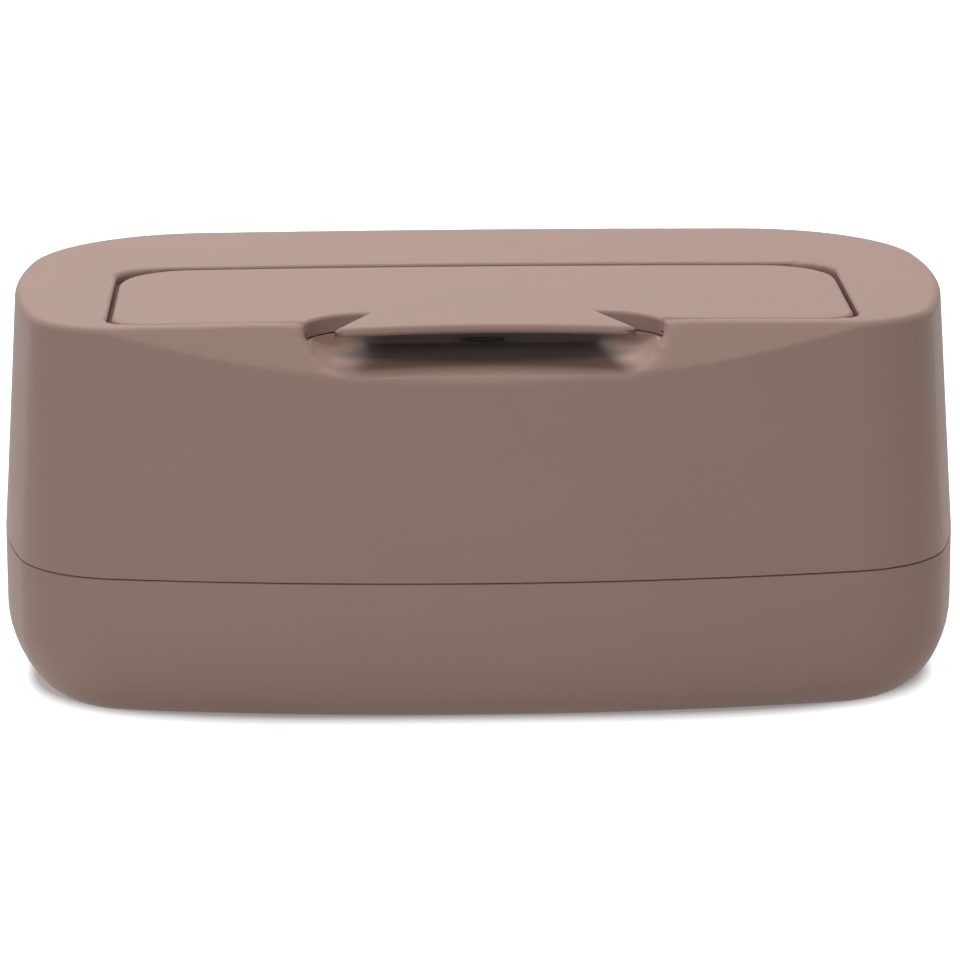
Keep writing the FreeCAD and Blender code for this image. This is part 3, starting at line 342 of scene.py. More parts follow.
@dataclass(frozen=True)
class MouldedPlastic:
    """Opaque moulded plastic with a fine eroded grain."""

    name: str
    colour: Colour
    roughness: float
    # painted shade of the finger scoop's recess, darkening the colour there
    shade: Optional[PaintedScoopShade] = None
    grain: float = 0.28 * MM
    grain_depth: float = 0.010 * MM
    cloud: float = 34.0 * MM
    streak: Point = (2.4, 1.0, 0.5)
    mix_shares: Point = (0.6, 0.25, 0.15)
    mix_range: Pair = (0.36, 0.64)
    contrast: float = 0.018
    roughness_swing: float = 0.06
    edge_round: float = 0.35 * MM
    specular: float = 0.3

    def make(self) -> Material:
        """Build the material: clouded colour, the painted scoop shade where given, fine grain and
        softened edges.
        """
        surface = Surface(self.name, self.colour)
        clouds = surface.noise(self.cloud, detail=3.0)
        grain = surface.noise(self.grain, detail=2.0)
        flow = surface.noise(self.cloud / 3.0, detail=2.0, stretch=self.streak)
        mixed = Wire.total(map(operator.mul, (clouds, flow, grain), self.mix_shares))
        light = tuple(min(1.0, part * (1.0 + self.contrast)) for part in self.colour)
        dark = tuple(part * (1.0 - self.contrast) for part in self.colour)
        tint = surface.tinted(dark, mixed.between(*self.mix_range), light)
        # paint the scoop recess's shade and shadow into the colour
        if self.shade is not None:
            tint = self.shade.tint(surface, tint)
        smooth = self.roughness - self.roughness_swing / 2
        return surface.close(
            {
                "Base Color": tint,
                "Roughness": smooth + clouds * self.roughness_swing,
                "Normal": surface.relief(grain, self.grain_depth, self.edge_round),
                "Specular IOR Level": self.specular,
            }
        )


@dataclass(frozen=True)
class SoftRubber:
    """Rubber with a dusty bloom."""

    name: str
    colour: Colour
    roughness: float = 0.72
    grain: float = 0.45 * MM
    grain_depth: float = 0.02 * MM
    bloom: float = 4.0 * MM
    bloom_range: Pair = (0.45, 0.75)
    bloom_gain: float = 1.15
    bloom_lift: float = 0.006
    roughness_swing: float = 0.12
    edge_round: float = 0.2 * MM
    specular: float = 0.3

    def make(self) -> Material:
        """Build the material: matt, with bloom and a leathery grain."""
        surface = Surface(self.name, self.colour)
        bloom = surface.noise(self.bloom, detail=4.0)
        grain = surface.noise(self.grain, detail=3.0)
        dusty = tuple(min(1.0, part * self.bloom_gain + self.bloom_lift) for part in self.colour)
        return surface.close(
            {
                "Base Color": surface.tinted(self.colour, bloom.between(*self.bloom_range), dusty),
                "Roughness": self.roughness + bloom * self.roughness_swing,
                "Normal": surface.relief(grain, self.grain_depth, self.edge_round),
                "Specular IOR Level": self.specular,
            }
        )


class Lay(Enum):
    """The direction in which metal is brushed or drawn."""

    ALONG_X = (22.0, 1.0, 1.0)
    ALONG_Y = (1.0, 22.0, 1.0)
    ALONG_Z = (1.0, 1.0, 22.0)


@dataclass(frozen=True)
class PlatedMetal:
    """Plated steel with drawing lines and faint tarnish."""

    name: str
    colour: Colour
    roughness: float
    lay: Lay
    line: float = 0.12 * MM
    line_depth: float = 0.006 * MM
    line_swing: float = 0.14
    tarnish: float = 5.0 * MM
    tarnish_range: Pair = (0.5, 0.8)
    tarnish_swing: float = 0.08
    dulling: float = 0.8
    edge_round: float = 0.15 * MM

    def make(self) -> Material:
        """Build the material: metal with lines along its lay."""
        surface = Surface(self.name, self.colour)
        lines = surface.noise(self.line, detail=3.0, stretch=self.lay.value)
        tarnish = surface.noise(self.tarnish, detail=3.0)
        dull = tuple(part * self.dulling for part in self.colour)
        rough = self.roughness + lines * self.line_swing + tarnish * self.tarnish_swing
        stain = tarnish.between(*self.tarnish_range)
        return surface.close(
            {
                "Base Color": surface.tinted(self.colour, stain, dull),
                "Metallic": 1.0,
                "Roughness": rough,
                "Normal": surface.relief(lines, self.line_depth, self.edge_round),
            }
        )


@dataclass(frozen=True)
class Finishes:
    """Every finish of the dispenser, made once."""

    shell: Material
    cover: Material
    inner: Material
    seal: Material
    foot: Material
    screw: Material
    bar: Material
    magnet: Material
    catch: Material

    @classmethod
    def make(cls) -> "Finishes":
        """Build each material."""
        rose, inner = (0.425, 0.277, 0.232), (0.395, 0.26, 0.218)
        return cls(
            shell=MouldedPlastic("dusty_rose_plastic", rose, 0.58).make(),
            # the cover's colour carries painted shade in the finger scoop's recess
            cover=MouldedPlastic("cover_plastic", rose, 0.58, PaintedScoopShade()).make(),
            inner=MouldedPlastic("inner_plastic", inner, 0.5, grain=0.4 * MM).make(),
            seal=SoftRubber("seal_rubber", (0.30, 0.27, 0.26), 0.55).make(),
            foot=SoftRubber("foot_rubber", (0.06, 0.055, 0.055)).make(),
            screw=PlatedMetal("zinc_plating", (0.55, 0.55, 0.56), 0.28, Lay.ALONG_Z).make(),
            bar=PlatedMetal("rolled_steel", (0.50, 0.50, 0.51), 0.34, Lay.ALONG_Y).make(),
            magnet=PlatedMetal("nickel_plating", (0.40, 0.39, 0.37), 0.42, Lay.ALONG_X).make(),
            catch=PlatedMetal("blackened_steel", (0.045, 0.04, 0.038), 0.5, Lay.ALONG_X).make(),
        )


def coat(data: Mesh, material: Material) -> None:
    """Make a finish a mesh's only one."""
    data.materials.clear()
    data.materials.append(material)


# pieces taken over from the frame
@dataclass(frozen=True)
class SoftBand:
    """Sharp edges to round, and how the mesh along them is refined and relaxed."""

    chosen: Chooser
    reach: float
    grain: float
    passes: int
    held: Optional[Chooser] = None
    least_angle_deg: float = 22.0
    most_cuts: int = 9
    steepness: float = 2.0
    stride: float = 0.6


class Moulding:
    """A frame node's shape as a piece of its own, welded, shaded and softened."""

    weld = 0.0005 * MM
    crease_deg = 32.0
    flat_weight = 80

    def __init__(self, frame: Mapping[str, Any], node: str, name: str) -> None:
        """Copy the node's mesh and merge its loose triangles.

        Args:
            frame: The loaded frame.
            node: The node to take over.
            name: The piece's name.
        """
        self.node = node
        mesh = frame["nodes"][node].data.copy()
        mesh.name = name
        self.piece = placed(name, mesh)
        self.work = bmesh.new()
        self.work.from_mesh(mesh)
        bmesh.ops.remove_doubles(self.work, verts=self.work.verts, dist=self.weld)
        bmesh.ops.dissolve_degenerate(self.work, edges=self.work.edges, dist=self.weld)

    def soften(self, band: SoftBand) -> None:
        """Round the sharp edges in a region by relaxing a fine band of the mesh along them.

        Args:
            band: The region, and how it is relaxed.
        """
        work = self.work
        tree = self.edge_tree(band)
        for _ in range(band.most_cuts):
            near = {vert for vert in work.verts if tree.find(vert.co)[2] < band.reach}
            long_edges = [
                edge
                for edge in work.edges
                if edge.calc_length() > band.grain and not near.isdisjoint(edge.verts)
            ]
            if not long_edges:
                break
            bmesh.ops.subdivide_edges(work, edges=long_edges, cuts=1)
            bmesh.ops.triangulate(work, faces=[face for face in work.faces if len(face.verts) > 3])
        self.relax(band, tree)

    def edge_tree(self, band: SoftBand) -> KDTree:
        """A tree of points along the sharp edges of a band's region."""
        step, least = band.grain / 2, math.radians(band.least_angle_deg)
        points: list[Vector] = []
        for edge in self.work.edges:
            if len(edge.link_faces) != 2 or edge.calc_face_angle(0.0) < least:
                continue
            first, last = edge.verts[0].co, edge.verts[1].co
            if band.chosen(first) and band.chosen(last):
                count = max(1, math.ceil((last - first).length / step))
                points.extend(first.lerp(last, index / count) for index in range(count + 1))
        tree = KDTree(len(points))
        for index, point in enumerate(points):
            tree.insert(point, index)
        tree.balance()
        return tree

    def relax(self, band: SoftBand, tree: KDTree) -> None:
        """Pull each point of the band towards the middle of its neighbours.

        Args:
            band: The region, and how it is relaxed.
            tree: The points along its edges.
        """
        work = self.work
        work.verts.ensure_lookup_table()
        work.verts.index_update()
        places = np.array([vert.co for vert in work.verts])
        pull = np.zeros(len(places))
        for vert in work.verts:
            share = 1.0 - tree.find(vert.co)[2] / band.reach
            if share > 0.0 and not (band.held and band.held(vert.co)):
                pull[vert.index] = min(1.0, share * band.steepness)
        pairs = np.array([[vert.index for vert in edge.verts] for edge in work.edges])
        pairs = pairs[(pull[pairs] > 0).any(axis=1)]
        directions = ((pairs[:, 0], pairs[:, 1]), (pairs[:, 1], pairs[:, 0]))
        counts = np.zeros(len(places))
        for ends, _ in directions:
            np.add.at(counts, ends, 1.0)
        counts = np.maximum(counts, 1.0)[:, None]
        for _ in range(band.passes):
            sums = np.zeros_like(places)
            for ends, others in directions:
                np.add.at(sums, ends, places[others])
            places = places + (sums / counts - places) * (pull * band.stride)[:, None]
        for index in np.flatnonzero(pull > 0.0):
            work.verts[index].co = Vector(places[index])

    def finish(self, material: Material, body: str, slot: str) -> None:
        """Write the mesh, shade it, dress it and seat it on its body.

        Args:
            material: The finish.
            body: The body that it rides on.
            slot: Passed on, but not used.
        """
        mesh = self.piece.data
        self.work.to_mesh(mesh)
        self.work.free()
        mesh.shade_smooth()
        mesh.set_sharp_from_angle(angle=math.radians(self.crease_deg))
        flats = self.piece.modifiers.new("even_flats", "WEIGHTED_NORMAL")
        flats.mode = "FACE_AREA"
        flats.weight = self.flat_weight
        flats.keep_sharp = True
        seat(self.piece, material, body, slot, self.node)


def seat(piece: Object, material: Material, body: str, slot: str, *nodes: str) -> None:
    """Dress a piece and seat it on its body.

    Args:
        piece: The finished piece.
        material: Its finish.
        body: The body that it rides on.
        slot: Not used.
        nodes: The frame nodes that it stands for.
    """
    coat(piece.data, material)
    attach(piece, body)
    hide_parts(*nodes)
    LOG.info("%s rides on %s: %d faces", piece.name, body, len(piece.data.polygons))


# geometry nodes
class Rule(Bench):
    """A Geometry Nodes tree with named inputs, turned into a plain mesh."""

    weld = 0.002 * MM
    crease_deg = 35.0

    def __init__(self, name: str, sizes: Mapping[str, float], material: Material) -> None:
        """Start the tree.

        Args:
            name: The tree's name.
            sizes: The named inputs and their values.
            material: The finish that the tree sets.
        """
        super().__init__(bpy.data.node_groups.new(name, "GeometryNodeTree"))
        self.sizes = dict(sizes)
        self.material = material
        face = self.tree.interface
        face.new_socket("Geometry", in_out="INPUT", socket_type="NodeSocketGeometry")
        self.keys: dict[str, str] = {}
        for label in self.sizes:
            socket = face.new_socket(label, in_out="INPUT", socket_type="NodeSocketFloat")
            self.keys[label] = socket.identifier
        face.new_socket("Geometry", in_out="OUTPUT", socket_type="NodeSocketGeometry")
        self.source = self.add("NodeGroupInput")

    def named(self, *labels: str) -> tuple[Wire, ...]:
        """Some of the named inputs."""
        return tuple(self.source[label] for label in labels)

    def cylinder(self, sides: int, radius: Number, depth: Number) -> Wire:
        """An upright cylinder, its middle at the origin."""
        inputs = {"Vertices": sides, "Radius": radius, "Depth": depth}
        return self.add("GeometryNodeMeshCylinder", None, inputs)["Mesh"]

    def cone(self, sides: int, top: Number, bottom: Number, depth: Number) -> Wire:
        """A blunt upright cone that stands on the origin."""
        inputs = {"Vertices": sides, "Radius Top": top, "Radius Bottom": bottom, "Depth": depth}
        return self.add("GeometryNodeMeshCone", None, inputs)["Mesh"]

    def block(self, x: Number, y: Number, z: Number) -> Wire:
        """A block, its middle at the origin."""
        size = self.add("ShaderNodeCombineXYZ", None, {"X": x, "Y": y, "Z": z})["Vector"]
        return self.add("GeometryNodeMeshCube", None, {"Size": size})["Mesh"]

    def circle(self, sides: int, radius: Number) -> Wire:
        """A circle round the origin."""
        inputs = {"Resolution": sides, "Radius": radius}
        return self.add("GeometryNodeCurvePrimitiveCircle", None, inputs)["Curve"]

    def swept(self, path: Wire, section: Wire, caps: bool = False) -> Wire:
        """A section carried along a path."""
        inputs = {"Curve": path, "Profile Curve": section, "Fill Caps": caps}
        return self.add("GeometryNodeCurveToMesh", None, inputs)["Mesh"]

    def raised(self, geometry: Wire, height: Number) -> Wire:
        """Geometry moved up."""
        place = self.add("ShaderNodeCombineXYZ", None, {"Z": height})["Vector"]
        inputs = {"Geometry": geometry, "Translation": place}
        return self.add("GeometryNodeTransform", None, inputs)["Geometry"]

    def together(self, *parts: Wire) -> Wire:
        """Join several geometries."""
        node = self.add("GeometryNodeJoinGeometry")
        for part in reversed(parts):
            self.link(part, node, "Geometry")
        return node["Geometry"]

    def combined(self, operation: str, *parts: Wire, start: Optional[Wire] = None) -> Wire:
        """Combine solids.

        Args:
            operation: The boolean's operation.
            parts: The solids that are joined or taken away.
            start: The solid that they are taken away from.

        Returns:
            The solid.
        """
        node = self.add("GeometryNodeMeshBoolean", {"operation": operation})
        if start is not None:
            self.link(start, node, "Mesh 1")
        for part in parts:
            self.link(part, node, "Mesh 2")
        return node["Mesh"]

    def on_points(self, thing: Wire) -> Wire:
        """A copy of a thing on every point of the source mesh."""
        inputs = {"Points": self.source["Geometry"], "Instance": thing}
        return self.add("GeometryNodeInstanceOnPoints", None, inputs)["Instances"]

    def bake(self, geometry: Wire, source: Mesh, name: str) -> Object:
        """End the tree, run it on a mesh and keep the plain result.

        Args:
            geometry: The tree's result.
            source: The mesh that the tree starts from.
            name: The piece's name.

        Returns:
            The piece.
        """
        real = self.add("GeometryNodeRealizeInstances", None, {"Geometry": geometry})["Geometry"]
        smooth = self.add("GeometryNodeSetShadeSmooth", None, {"Geometry": real})["Geometry"]
        inputs = {"Geometry": smooth, "Material": self.material}
        dressed = self.add("GeometryNodeSetMaterial", None, inputs)["Geometry"]
        self.add("NodeGroupOutput", None, {0: dressed})
        holder = placed(f"{name}_rule", source)
        modifier = holder.modifiers.new("rule", "NODES")
        modifier.node_group = self.tree
        for label, value in self.sizes.items():
            modifier[self.keys[label]] = value
        bpy.context.view_layer.update()
        grown = holder.evaluated_get(bpy.context.evaluated_depsgraph_get())
        mesh = bpy.data.meshes.new_from_object(grown)
        mesh.name = name
        holder.modifiers.remove(modifier)
        bpy.data.objects.remove(holder)
        work = bmesh.new()
        work.from_mesh(mesh)
        bmesh.ops.remove_doubles(work, verts=work.verts, dist=self.weld)
        bmesh.ops.recalc_face_normals(work, faces=work.faces)
        work.to_mesh(mesh)
        work.free()
        mesh.set_sharp_from_angle(angle=math.radians(self.crease_deg))
        return placed(name, mesh)


def points_mesh(name: str, places: Sequence[Point], closed: bool = False) -> Mesh:
    """A mesh of points, joined in a ring if closed."""
    count = len(places)
    edges = [(index, (index + 1) % count) for index in range(count)] if closed else []
    mesh = bpy.data.meshes.new(name)
    mesh.from_pydata(places, edges, [])
    return mesh


@dataclass(frozen=True)
class Screw:
    """A self-tapping screw's sizes, with the details as shares of its head or shank."""

    head_radius: float
    head_height: float
    shank_radius: float
    pitch: float = 0.9 * MM
    recess_width: float = 0.55 * MM
    head_sides: int = 40
    rim_share: float = 0.55
    dome_share: float = 0.45
    crown_share: float = 0.72
    recess_reach_share: float = 1.05
    recess_depth_share: float = 1.1
    shank_sides: int = 20
    core_share: float = 0.74
    straight_share: float = 0.88
    tip_share: float = 0.12
    tip_crown_share: float = 0.45
    thread_length_share: float = 0.86
    ridge_share: float = 0.26
    ridge_sides: int = 4
    turn_sides: int = 18


@dataclass
class ScrewSet:
    """Screws that are driven upwards, all alike."""

    name: str
    places: Sequence[Point]
    screw: Screw
    length: float

    def build(self, material: Material) -> Object:
        """Grow a screw on every place."""
        sizes = {
            "Head Radius": self.screw.head_radius,
            "Head Height": self.screw.head_height,
            "Shank Radius": self.screw.shank_radius,
            "Shank Length": self.length - self.screw.head_height,
            "Pitch": self.screw.pitch,
            "Recess Width": self.screw.recess_width,
        }
        rule = Rule(f"{self.name}_rule", sizes, material)
        grown = rule.on_points(rule.together(self.head(rule), self.shank(rule)))
        return rule.bake(grown, points_mesh(f"{self.name}_places", self.places), self.name)

    def head(self, rule: Rule) -> Wire:
        """The head: a low cone on a short cylinder, with a cross recess from below."""
        screw = self.screw
        radius, height, width = rule.named("Head Radius", "Head Height", "Recess Width")
        rim = rule.cylinder(screw.head_sides, radius, height * screw.rim_share)
        rim = rule.raised(rim, height * (screw.dome_share + screw.rim_share / 2))
        crown, dome_height = radius * screw.crown_share, height * screw.dome_share
        dome = rule.cone(screw.head_sides, radius, crown, dome_height)
        reach, depth = radius * screw.recess_reach_share, height * screw.recess_depth_share
        arms = (rule.block(reach, width, depth), rule.block(width, reach, depth))
        whole = rule.combined("UNION", rim, dome)
        return rule.combined("DIFFERENCE", rule.combined("UNION", *arms), start=whole)

    def shank(self, rule: Rule) -> Wire:
        """The shank: a core with a thread wound round it, and a blunt point."""
        screw = self.screw
        radius, length, pitch = rule.named("Shank Radius", "Shank Length", "Pitch")
        straight, wound = length * screw.straight_share, length * screw.thread_length_share
        core_radius = radius * screw.core_share
        tip_crown = core_radius * screw.tip_crown_share
        core = rule.cylinder(screw.shank_sides, core_radius, straight)
        tip = rule.cone(screw.shank_sides, tip_crown, core_radius, length * screw.tip_share)
        winding = {
            "Resolution": screw.turn_sides,
            "Rotations": wound / pitch,
            "Start Radius": core_radius,
            "End Radius": core_radius,
            "Height": wound,
        }
        spiral = rule.add("GeometryNodeCurveSpiral", None, winding)["Curve"]
        ridge = rule.circle(screw.ridge_sides, radius * screw.ridge_share)
        thread = rule.swept(spiral, ridge, caps=True)
        core = rule.raised(core, straight * 0.5)
        whole = rule.together(core, rule.raised(tip, straight), thread)
        return rule.raised(whole, *rule.named("Head Height"))


@dataclass
class RubberFeet:
    """Four round feet with a softened rim and two grip rings."""

    places: Sequence[Point]
    radius: float
    height: float
    ring: float = 0.35 * MM
    sides: int = 64
    ring_sides: int = 10
    ring_shares: Pair = (0.42, 0.78)

    def build(self, material: Material) -> Object:
        """Grow a foot on every place."""
        sizes = {"Foot Radius": self.radius, "Foot Height": self.height, "Ring": self.ring}
        rule = Rule("feet_rule", sizes, material)
        radius, height, ring = rule.named(*sizes)
        disc = rule.cylinder(self.sides, radius, height - ring * 2.0)
        skirt = rule.cone(self.sides, radius, radius - ring, ring)
        parts = [rule.raised(disc, height * 0.5 + ring), rule.raised(skirt, ring)]
        section = rule.circle(self.ring_sides, ring)
        for share in self.ring_shares:
            grip = rule.swept(rule.circle(self.sides, radius * share), section)
            parts.append(rule.raised(grip, ring))
        grown = rule.on_points(rule.together(*parts))
        return rule.bake(grown, points_mesh("feet_places", self.places), "rubber_feet")


@dataclass
class SealStrip:
    """A rubber strip of rounded section laid round a closed path."""

    name: str
    path: Sequence[Point]
    width: float
    height: float
    corner_share: float = 0.35

    def build(self, material: Material) -> Object:
        """Sweep the section round the path."""
        sizes = {"Strip Width": self.width, "Strip Height": self.height}
        rule = Rule(f"{self.name}_rule", sizes, material)
        width, height = rule.named(*sizes)
        sides = {"Width": width, "Height": height}
        box = rule.add("GeometryNodeCurvePrimitiveQuadrilateral", None, sides)["Curve"]
        rounding = {"Curve": box, "Radius": width * self.corner_share}
        section = rule.add("GeometryNodeFilletCurve", None, rounding)["Curve"]
        path = rule.add("GeometryNodeMeshToCurve", None, {"Mesh": rule.source["Geometry"]})["Curve"]
        upright = rule.add("GeometryNodeSetCurveNormal", {"mode": "Z_UP"}, {"Curve": path})["Curve"]
        source = points_mesh(f"{self.name}_path", self.path, closed=True)
        return rule.bake(rule.swept(upright, section), source, self.name)


def on_circle(middle: Sequence[float], radius: float, angle: float) -> Pair:
    """The point of a circle at an angle."""
    return (middle[0] + radius * math.cos(angle), middle[1] + radius * math.sin(angle))


def rounded_ring(
    half_width: float, half_depth: float, radius: float, middle: Point, steps: int = 14
) -> list[Point]:
    """Points round a rectangle with round corners.

    Args:
        half_width: Half of its size along X.
        half_depth: Half of its size along Y.
        radius: The corners' radius.
        middle: Its middle.
        steps: The steps round each corner.

    Returns:
        The points, anticlockwise.
    """
    points: list[Point] = []
    for quarter, (side, end) in enumerate(((1, 1), (-1, 1), (-1, -1), (1, -1))):
        corner = (middle[0] + side * (half_width - radius), middle[1] + end * (half_depth - radius))
        for index in range(steps + 1):
            angle = math.pi / 2 * (quarter + index / steps)
            points.append((*on_circle(corner, radius, angle), middle[2]))
    return points


@dataclass
class Outline:
    """The dispenser's plan: bowed front and ends, round corners and a straight rear."""

    half_width: float = 110.0 * MM
    half_depth: float = 64.0 * MM
    front_rise: float = 13.05 * MM
    front_corner: float = 27.0 * MM
    end_bow: float = 156.0 * MM
    rear_corner: float = 43.0 * MM
    widest: float = 4.0 * MM
    steps: tuple[int, ...] = (40, 24, 24, 30)

    def ring(self, inset: float, height: float) -> list[Point]:
        """Points round the outline.

        Args:
            inset: How far inside it.
            height: Their height.

        Returns:
            The points, anticlockwise from the front's middle.
        """
        front_bow = (self.half_width**2 + self.front_rise**2) / (2 * self.front_rise)
        front = (0.0, front_bow - self.half_depth)
        end = (self.half_width - self.end_bow, self.widest)
        corner = self.meeting(
            front, front_bow - self.front_corner, end, self.end_bow - self.front_corner
        )
        rear_y = self.half_depth - self.rear_corner
        reach = self.end_bow - self.rear_corner
        rear = (end[0] + math.sqrt(reach**2 - (rear_y - end[1]) ** 2), rear_y)
        middles = (front, corner, end, rear)
        radii = (front_bow, self.front_corner, self.end_bow, self.rear_corner)
        turns = (
            -math.pi / 2,
            math.atan2(corner[1] - front[1], corner[0] - front[0]),
            math.atan2(corner[1] - end[1], corner[0] - end[0]),
            math.atan2(rear[1] - end[1], rear[0] - end[0]),
            math.pi / 2,
        )
        right: list[Pair] = []
        arcs = zip(middles, radii, turns, turns[1:], self.steps)
        for middle, radius, start, stop, steps in arcs:
            for index in range(steps):
                angle = start + (stop - start) * index / steps
                right.append(on_circle(middle, radius - inset, angle))
        right.append((rear[0], self.half_depth - inset))
        left = [(-x, y) for x, y in reversed(right[1:])]
        return [(x, y, height) for x, y in right + left]

    @staticmethod
    def meeting(first: Pair, first_reach: float, second: Pair, second_reach: float) -> Pair:
        """The foremost point at two reaches from two centres.

        Args:
            first: One centre.
            first_reach: How far the point is from it.
            second: The other centre.
            second_reach: How far the point is from that.

        Returns:
            The point.
        """
        gap = math.dist(first, second)
        along = (first_reach**2 - second_reach**2 + gap**2) / (2 * gap)
        aside = math.sqrt(first_reach**2 - along**2)
        x, y = ((last - start) / gap for start, last in zip(first, second))
        foot = (first[0] + along * x, first[1] + along * y)
        spots = [(foot[0] + aside * y * sign, foot[1] - aside * x * sign) for sign in (1, -1)]
        return min(spots, key=lambda spot: spot[1])


Grower = Union[ScrewSet, RubberFeet, SealStrip]


# sub-assemblies
@dataclass
class Assembly:
    """A sub-assembly of the dispenser, whose pieces ride on one body."""

    body: ClassVar[str]
    frame: Mapping[str, Any]
    finishes: Finishes

    def mould(self, node: str, name: str, material: Material, slot: str) -> None:
        """Take a frame node over as a piece of its own."""
        Moulding(self.frame, node, name).finish(material, self.body, slot)

    def grow(self, maker: Grower, material: Material, slot: str, *nodes: str) -> None:
        """Grow a piece in place of some frame nodes."""
        seat(maker.build(material), material, self.body, slot, *nodes)

    def dress(self, node: str, material: Material) -> None:
        """Give a frame node that stays its finish."""
        coat(self.frame["nodes"][node].data, material)
        LOG.info("%s keeps its own shape", node)


@dataclass
class Base(Assembly):
    """The tray, its feet and the seal round its rim."""

    body = "base"
    outline: Outline = field(default_factory=Outline)
    seal_inset: float = 3.5 * MM
    seal_width: float = 1.1 * MM

    def build(self) -> None:
        """Make the base's pieces."""
        self.mould("base_tray", "tray", self.finishes.shell, "shell_plastic")
        self.feet()
        self.seal()

    def feet(self) -> None:
        """Four feet in their recesses."""
        names = [f"foot_{end}_{side}" for end in ("front", "rear") for side in ("left", "right")]
        boxes = [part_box(name) for name in names]
        places = [((low.x + high.x) / 2, (low.y + high.y) / 2, low.z) for low, high in boxes]
        low, high = boxes[0]
        feet = RubberFeet(places, (high.x - low.x) / 2, high.z - low.z)
        self.grow(feet, self.finishes.foot, "foot_rubber", *names)

    def seal(self) -> None:
        """The rim seal in its groove."""
        low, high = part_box("rim_seal")
        path = self.outline.ring(self.seal_inset, (low.z + high.z) / 2)
        strip = SealStrip("rim_seal_strip", path, self.seal_width, high.z - low.z)
        self.grow(strip, self.finishes.seal, "seal_rubber", "rim_seal")


@dataclass
class Cover(Assembly):
    """The upper shell with the finger scoop, and the frame under its opening."""

    body = "cover"
    soft_reach: float = 3.6 * MM
    soft_grain: float = 0.7 * MM
    soft_passes: int = 26
    scoop_half_width: float = 44.0 * MM
    scoop_rear: float = -38.0 * MM
    scoop_foot: float = 74.0 * MM
    bowl_top: float = 87.2 * MM
    bowl_front: float = -49.9 * MM
    rim_reach: float = 1.6 * MM
    rim_passes: int = 8
    rim_half_width: float = 86.0 * MM
    rim_front: float = -48.0 * MM
    rim_rear: float = 19.0 * MM
    rim_foot: float = 90.5 * MM
    screw: Screw = Screw(2.5 * MM, 1.6 * MM, 1.3 * MM)
    rear_screws: Pair = (62.0 * MM, 21.0 * MM)

    def build(self) -> None:
        """Make the cover's pieces."""
        self.shell()
        self.mould("lid_frame", "inner_frame", self.finishes.inner, "inner_plastic")
        self.screws()
        self.dress("catch_plate", self.finishes.catch)
        for side in ("left", "right"):
            self.dress(f"hinge_pin_{side}", self.finishes.screw)

    def in_scoop(self, point: Vector) -> bool:
        """Whether a point is on the finger scoop or at its edge."""
        ahead = abs(point.x) < self.scoop_half_width and point.y < self.scoop_rear
        return ahead and point.z > self.scoop_foot

    def under_skirt(self, point: Vector) -> bool:
        """Whether a point is on the bowl's upper edge, close under the lid's skirt."""
        return point.z > self.bowl_top and point.y > self.bowl_front

    def on_rim(self, point: Vector) -> bool:
        """Whether a point is on the opening's upper edge."""
        inside = abs(point.x) < self.rim_half_width and self.rim_front < point.y < self.rim_rear
        return inside and point.z > self.rim_foot

    def shell(self) -> None:
        """The cover, with its scoop and opening softened as moulded edges are."""
        cover = Moulding(self.frame, "cover_shell", "cover")
        size = (self.soft_reach, self.soft_grain, self.soft_passes)
        cover.soften(SoftBand(self.in_scoop, *size, held=self.under_skirt))
        cover.soften(SoftBand(self.on_rim, self.rim_reach, self.soft_grain, self.rim_passes))
        cover.finish(self.finishes.cover, self.body, "shell_plastic")

    def screws(self) -> None:
        """Six screws that hold the frame."""
        low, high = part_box("frame_screws")
        inset = self.screw.head_radius
        spots = [(x, high.y - inset) for x in self.rear_screws]
        spots.append((high.x - inset, low.y + inset))
        places = [(x * sign, y, low.z) for sign in (-1, 1) for x, y in spots]
        screws = ScrewSet("deck_screws", places, self.screw, high.z - low.z)
        self.grow(screws, self.finishes.screw, "steel", "frame_screws")


@dataclass
class Lid(Assembly):
    """The lid's skin with its tongue, and the panel, gasket and magnet under it."""

    body = "lid"
    gasket_width: float = 3.2 * MM
    gasket_corner: float = 13.0 * MM
    gasket_corner_share: float = 0.22

    def build(self) -> None:
        """Make the lid's pieces."""
        self.mould("lid_skin", "lid", self.finishes.shell, "shell_plastic")
        self.mould("lid_panel", "lid_liner", self.finishes.inner, "inner_plastic")
        self.gasket()
        self.dress("lid_magnet", self.finishes.magnet)

    def gasket(self) -> None:
        """The gasket that closes on the mouth's rim."""
        low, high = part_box("lid_gasket")
        width = self.gasket_width
        middle = ((low.x + high.x) / 2, (low.y + high.y) / 2, (low.z + high.z) / 2)
        halves = ((high.x - low.x - width) / 2, (high.y - low.y - width) / 2)
        path = rounded_ring(*halves, self.gasket_corner, middle)
        height = high.z - low.z
        strip = SealStrip("mouth_gasket", path, width, height, self.gasket_corner_share)
        self.grow(strip, self.finishes.seal, "seal_rubber", "lid_gasket")


@dataclass
class PressPlate(Assembly):
    """The weighted plate that lies on the wipes."""

    body = "press_plate"
    screw: Screw = Screw(2.0 * MM, 1.0 * MM, 1.1 * MM)

    def build(self) -> None:
        """Make the plate's pieces."""
        for node, name in (("press_plate", "plate"), ("press_plate_cap", "plate_cap")):
            self.mould(node, name, self.finishes.inner, "inner_plastic")
        self.screws()
        for side in ("left", "right"):
            self.dress(f"press_weight_{side}", self.finishes.bar)

    def screws(self) -> None:
        """Four screws that hold the cap."""
        low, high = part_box("press_plate_screws")
        x, y = high.x - self.screw.head_radius, high.y - self.screw.head_radius
        places = [(side * x, end * y, low.z) for side in (-1, 1) for end in (-1, 1)]
        screws = ScrewSet("cap_screws", places, self.screw, high.z - low.z)
        self.grow(screws, self.finishes.screw, "steel", "press_plate_screws")


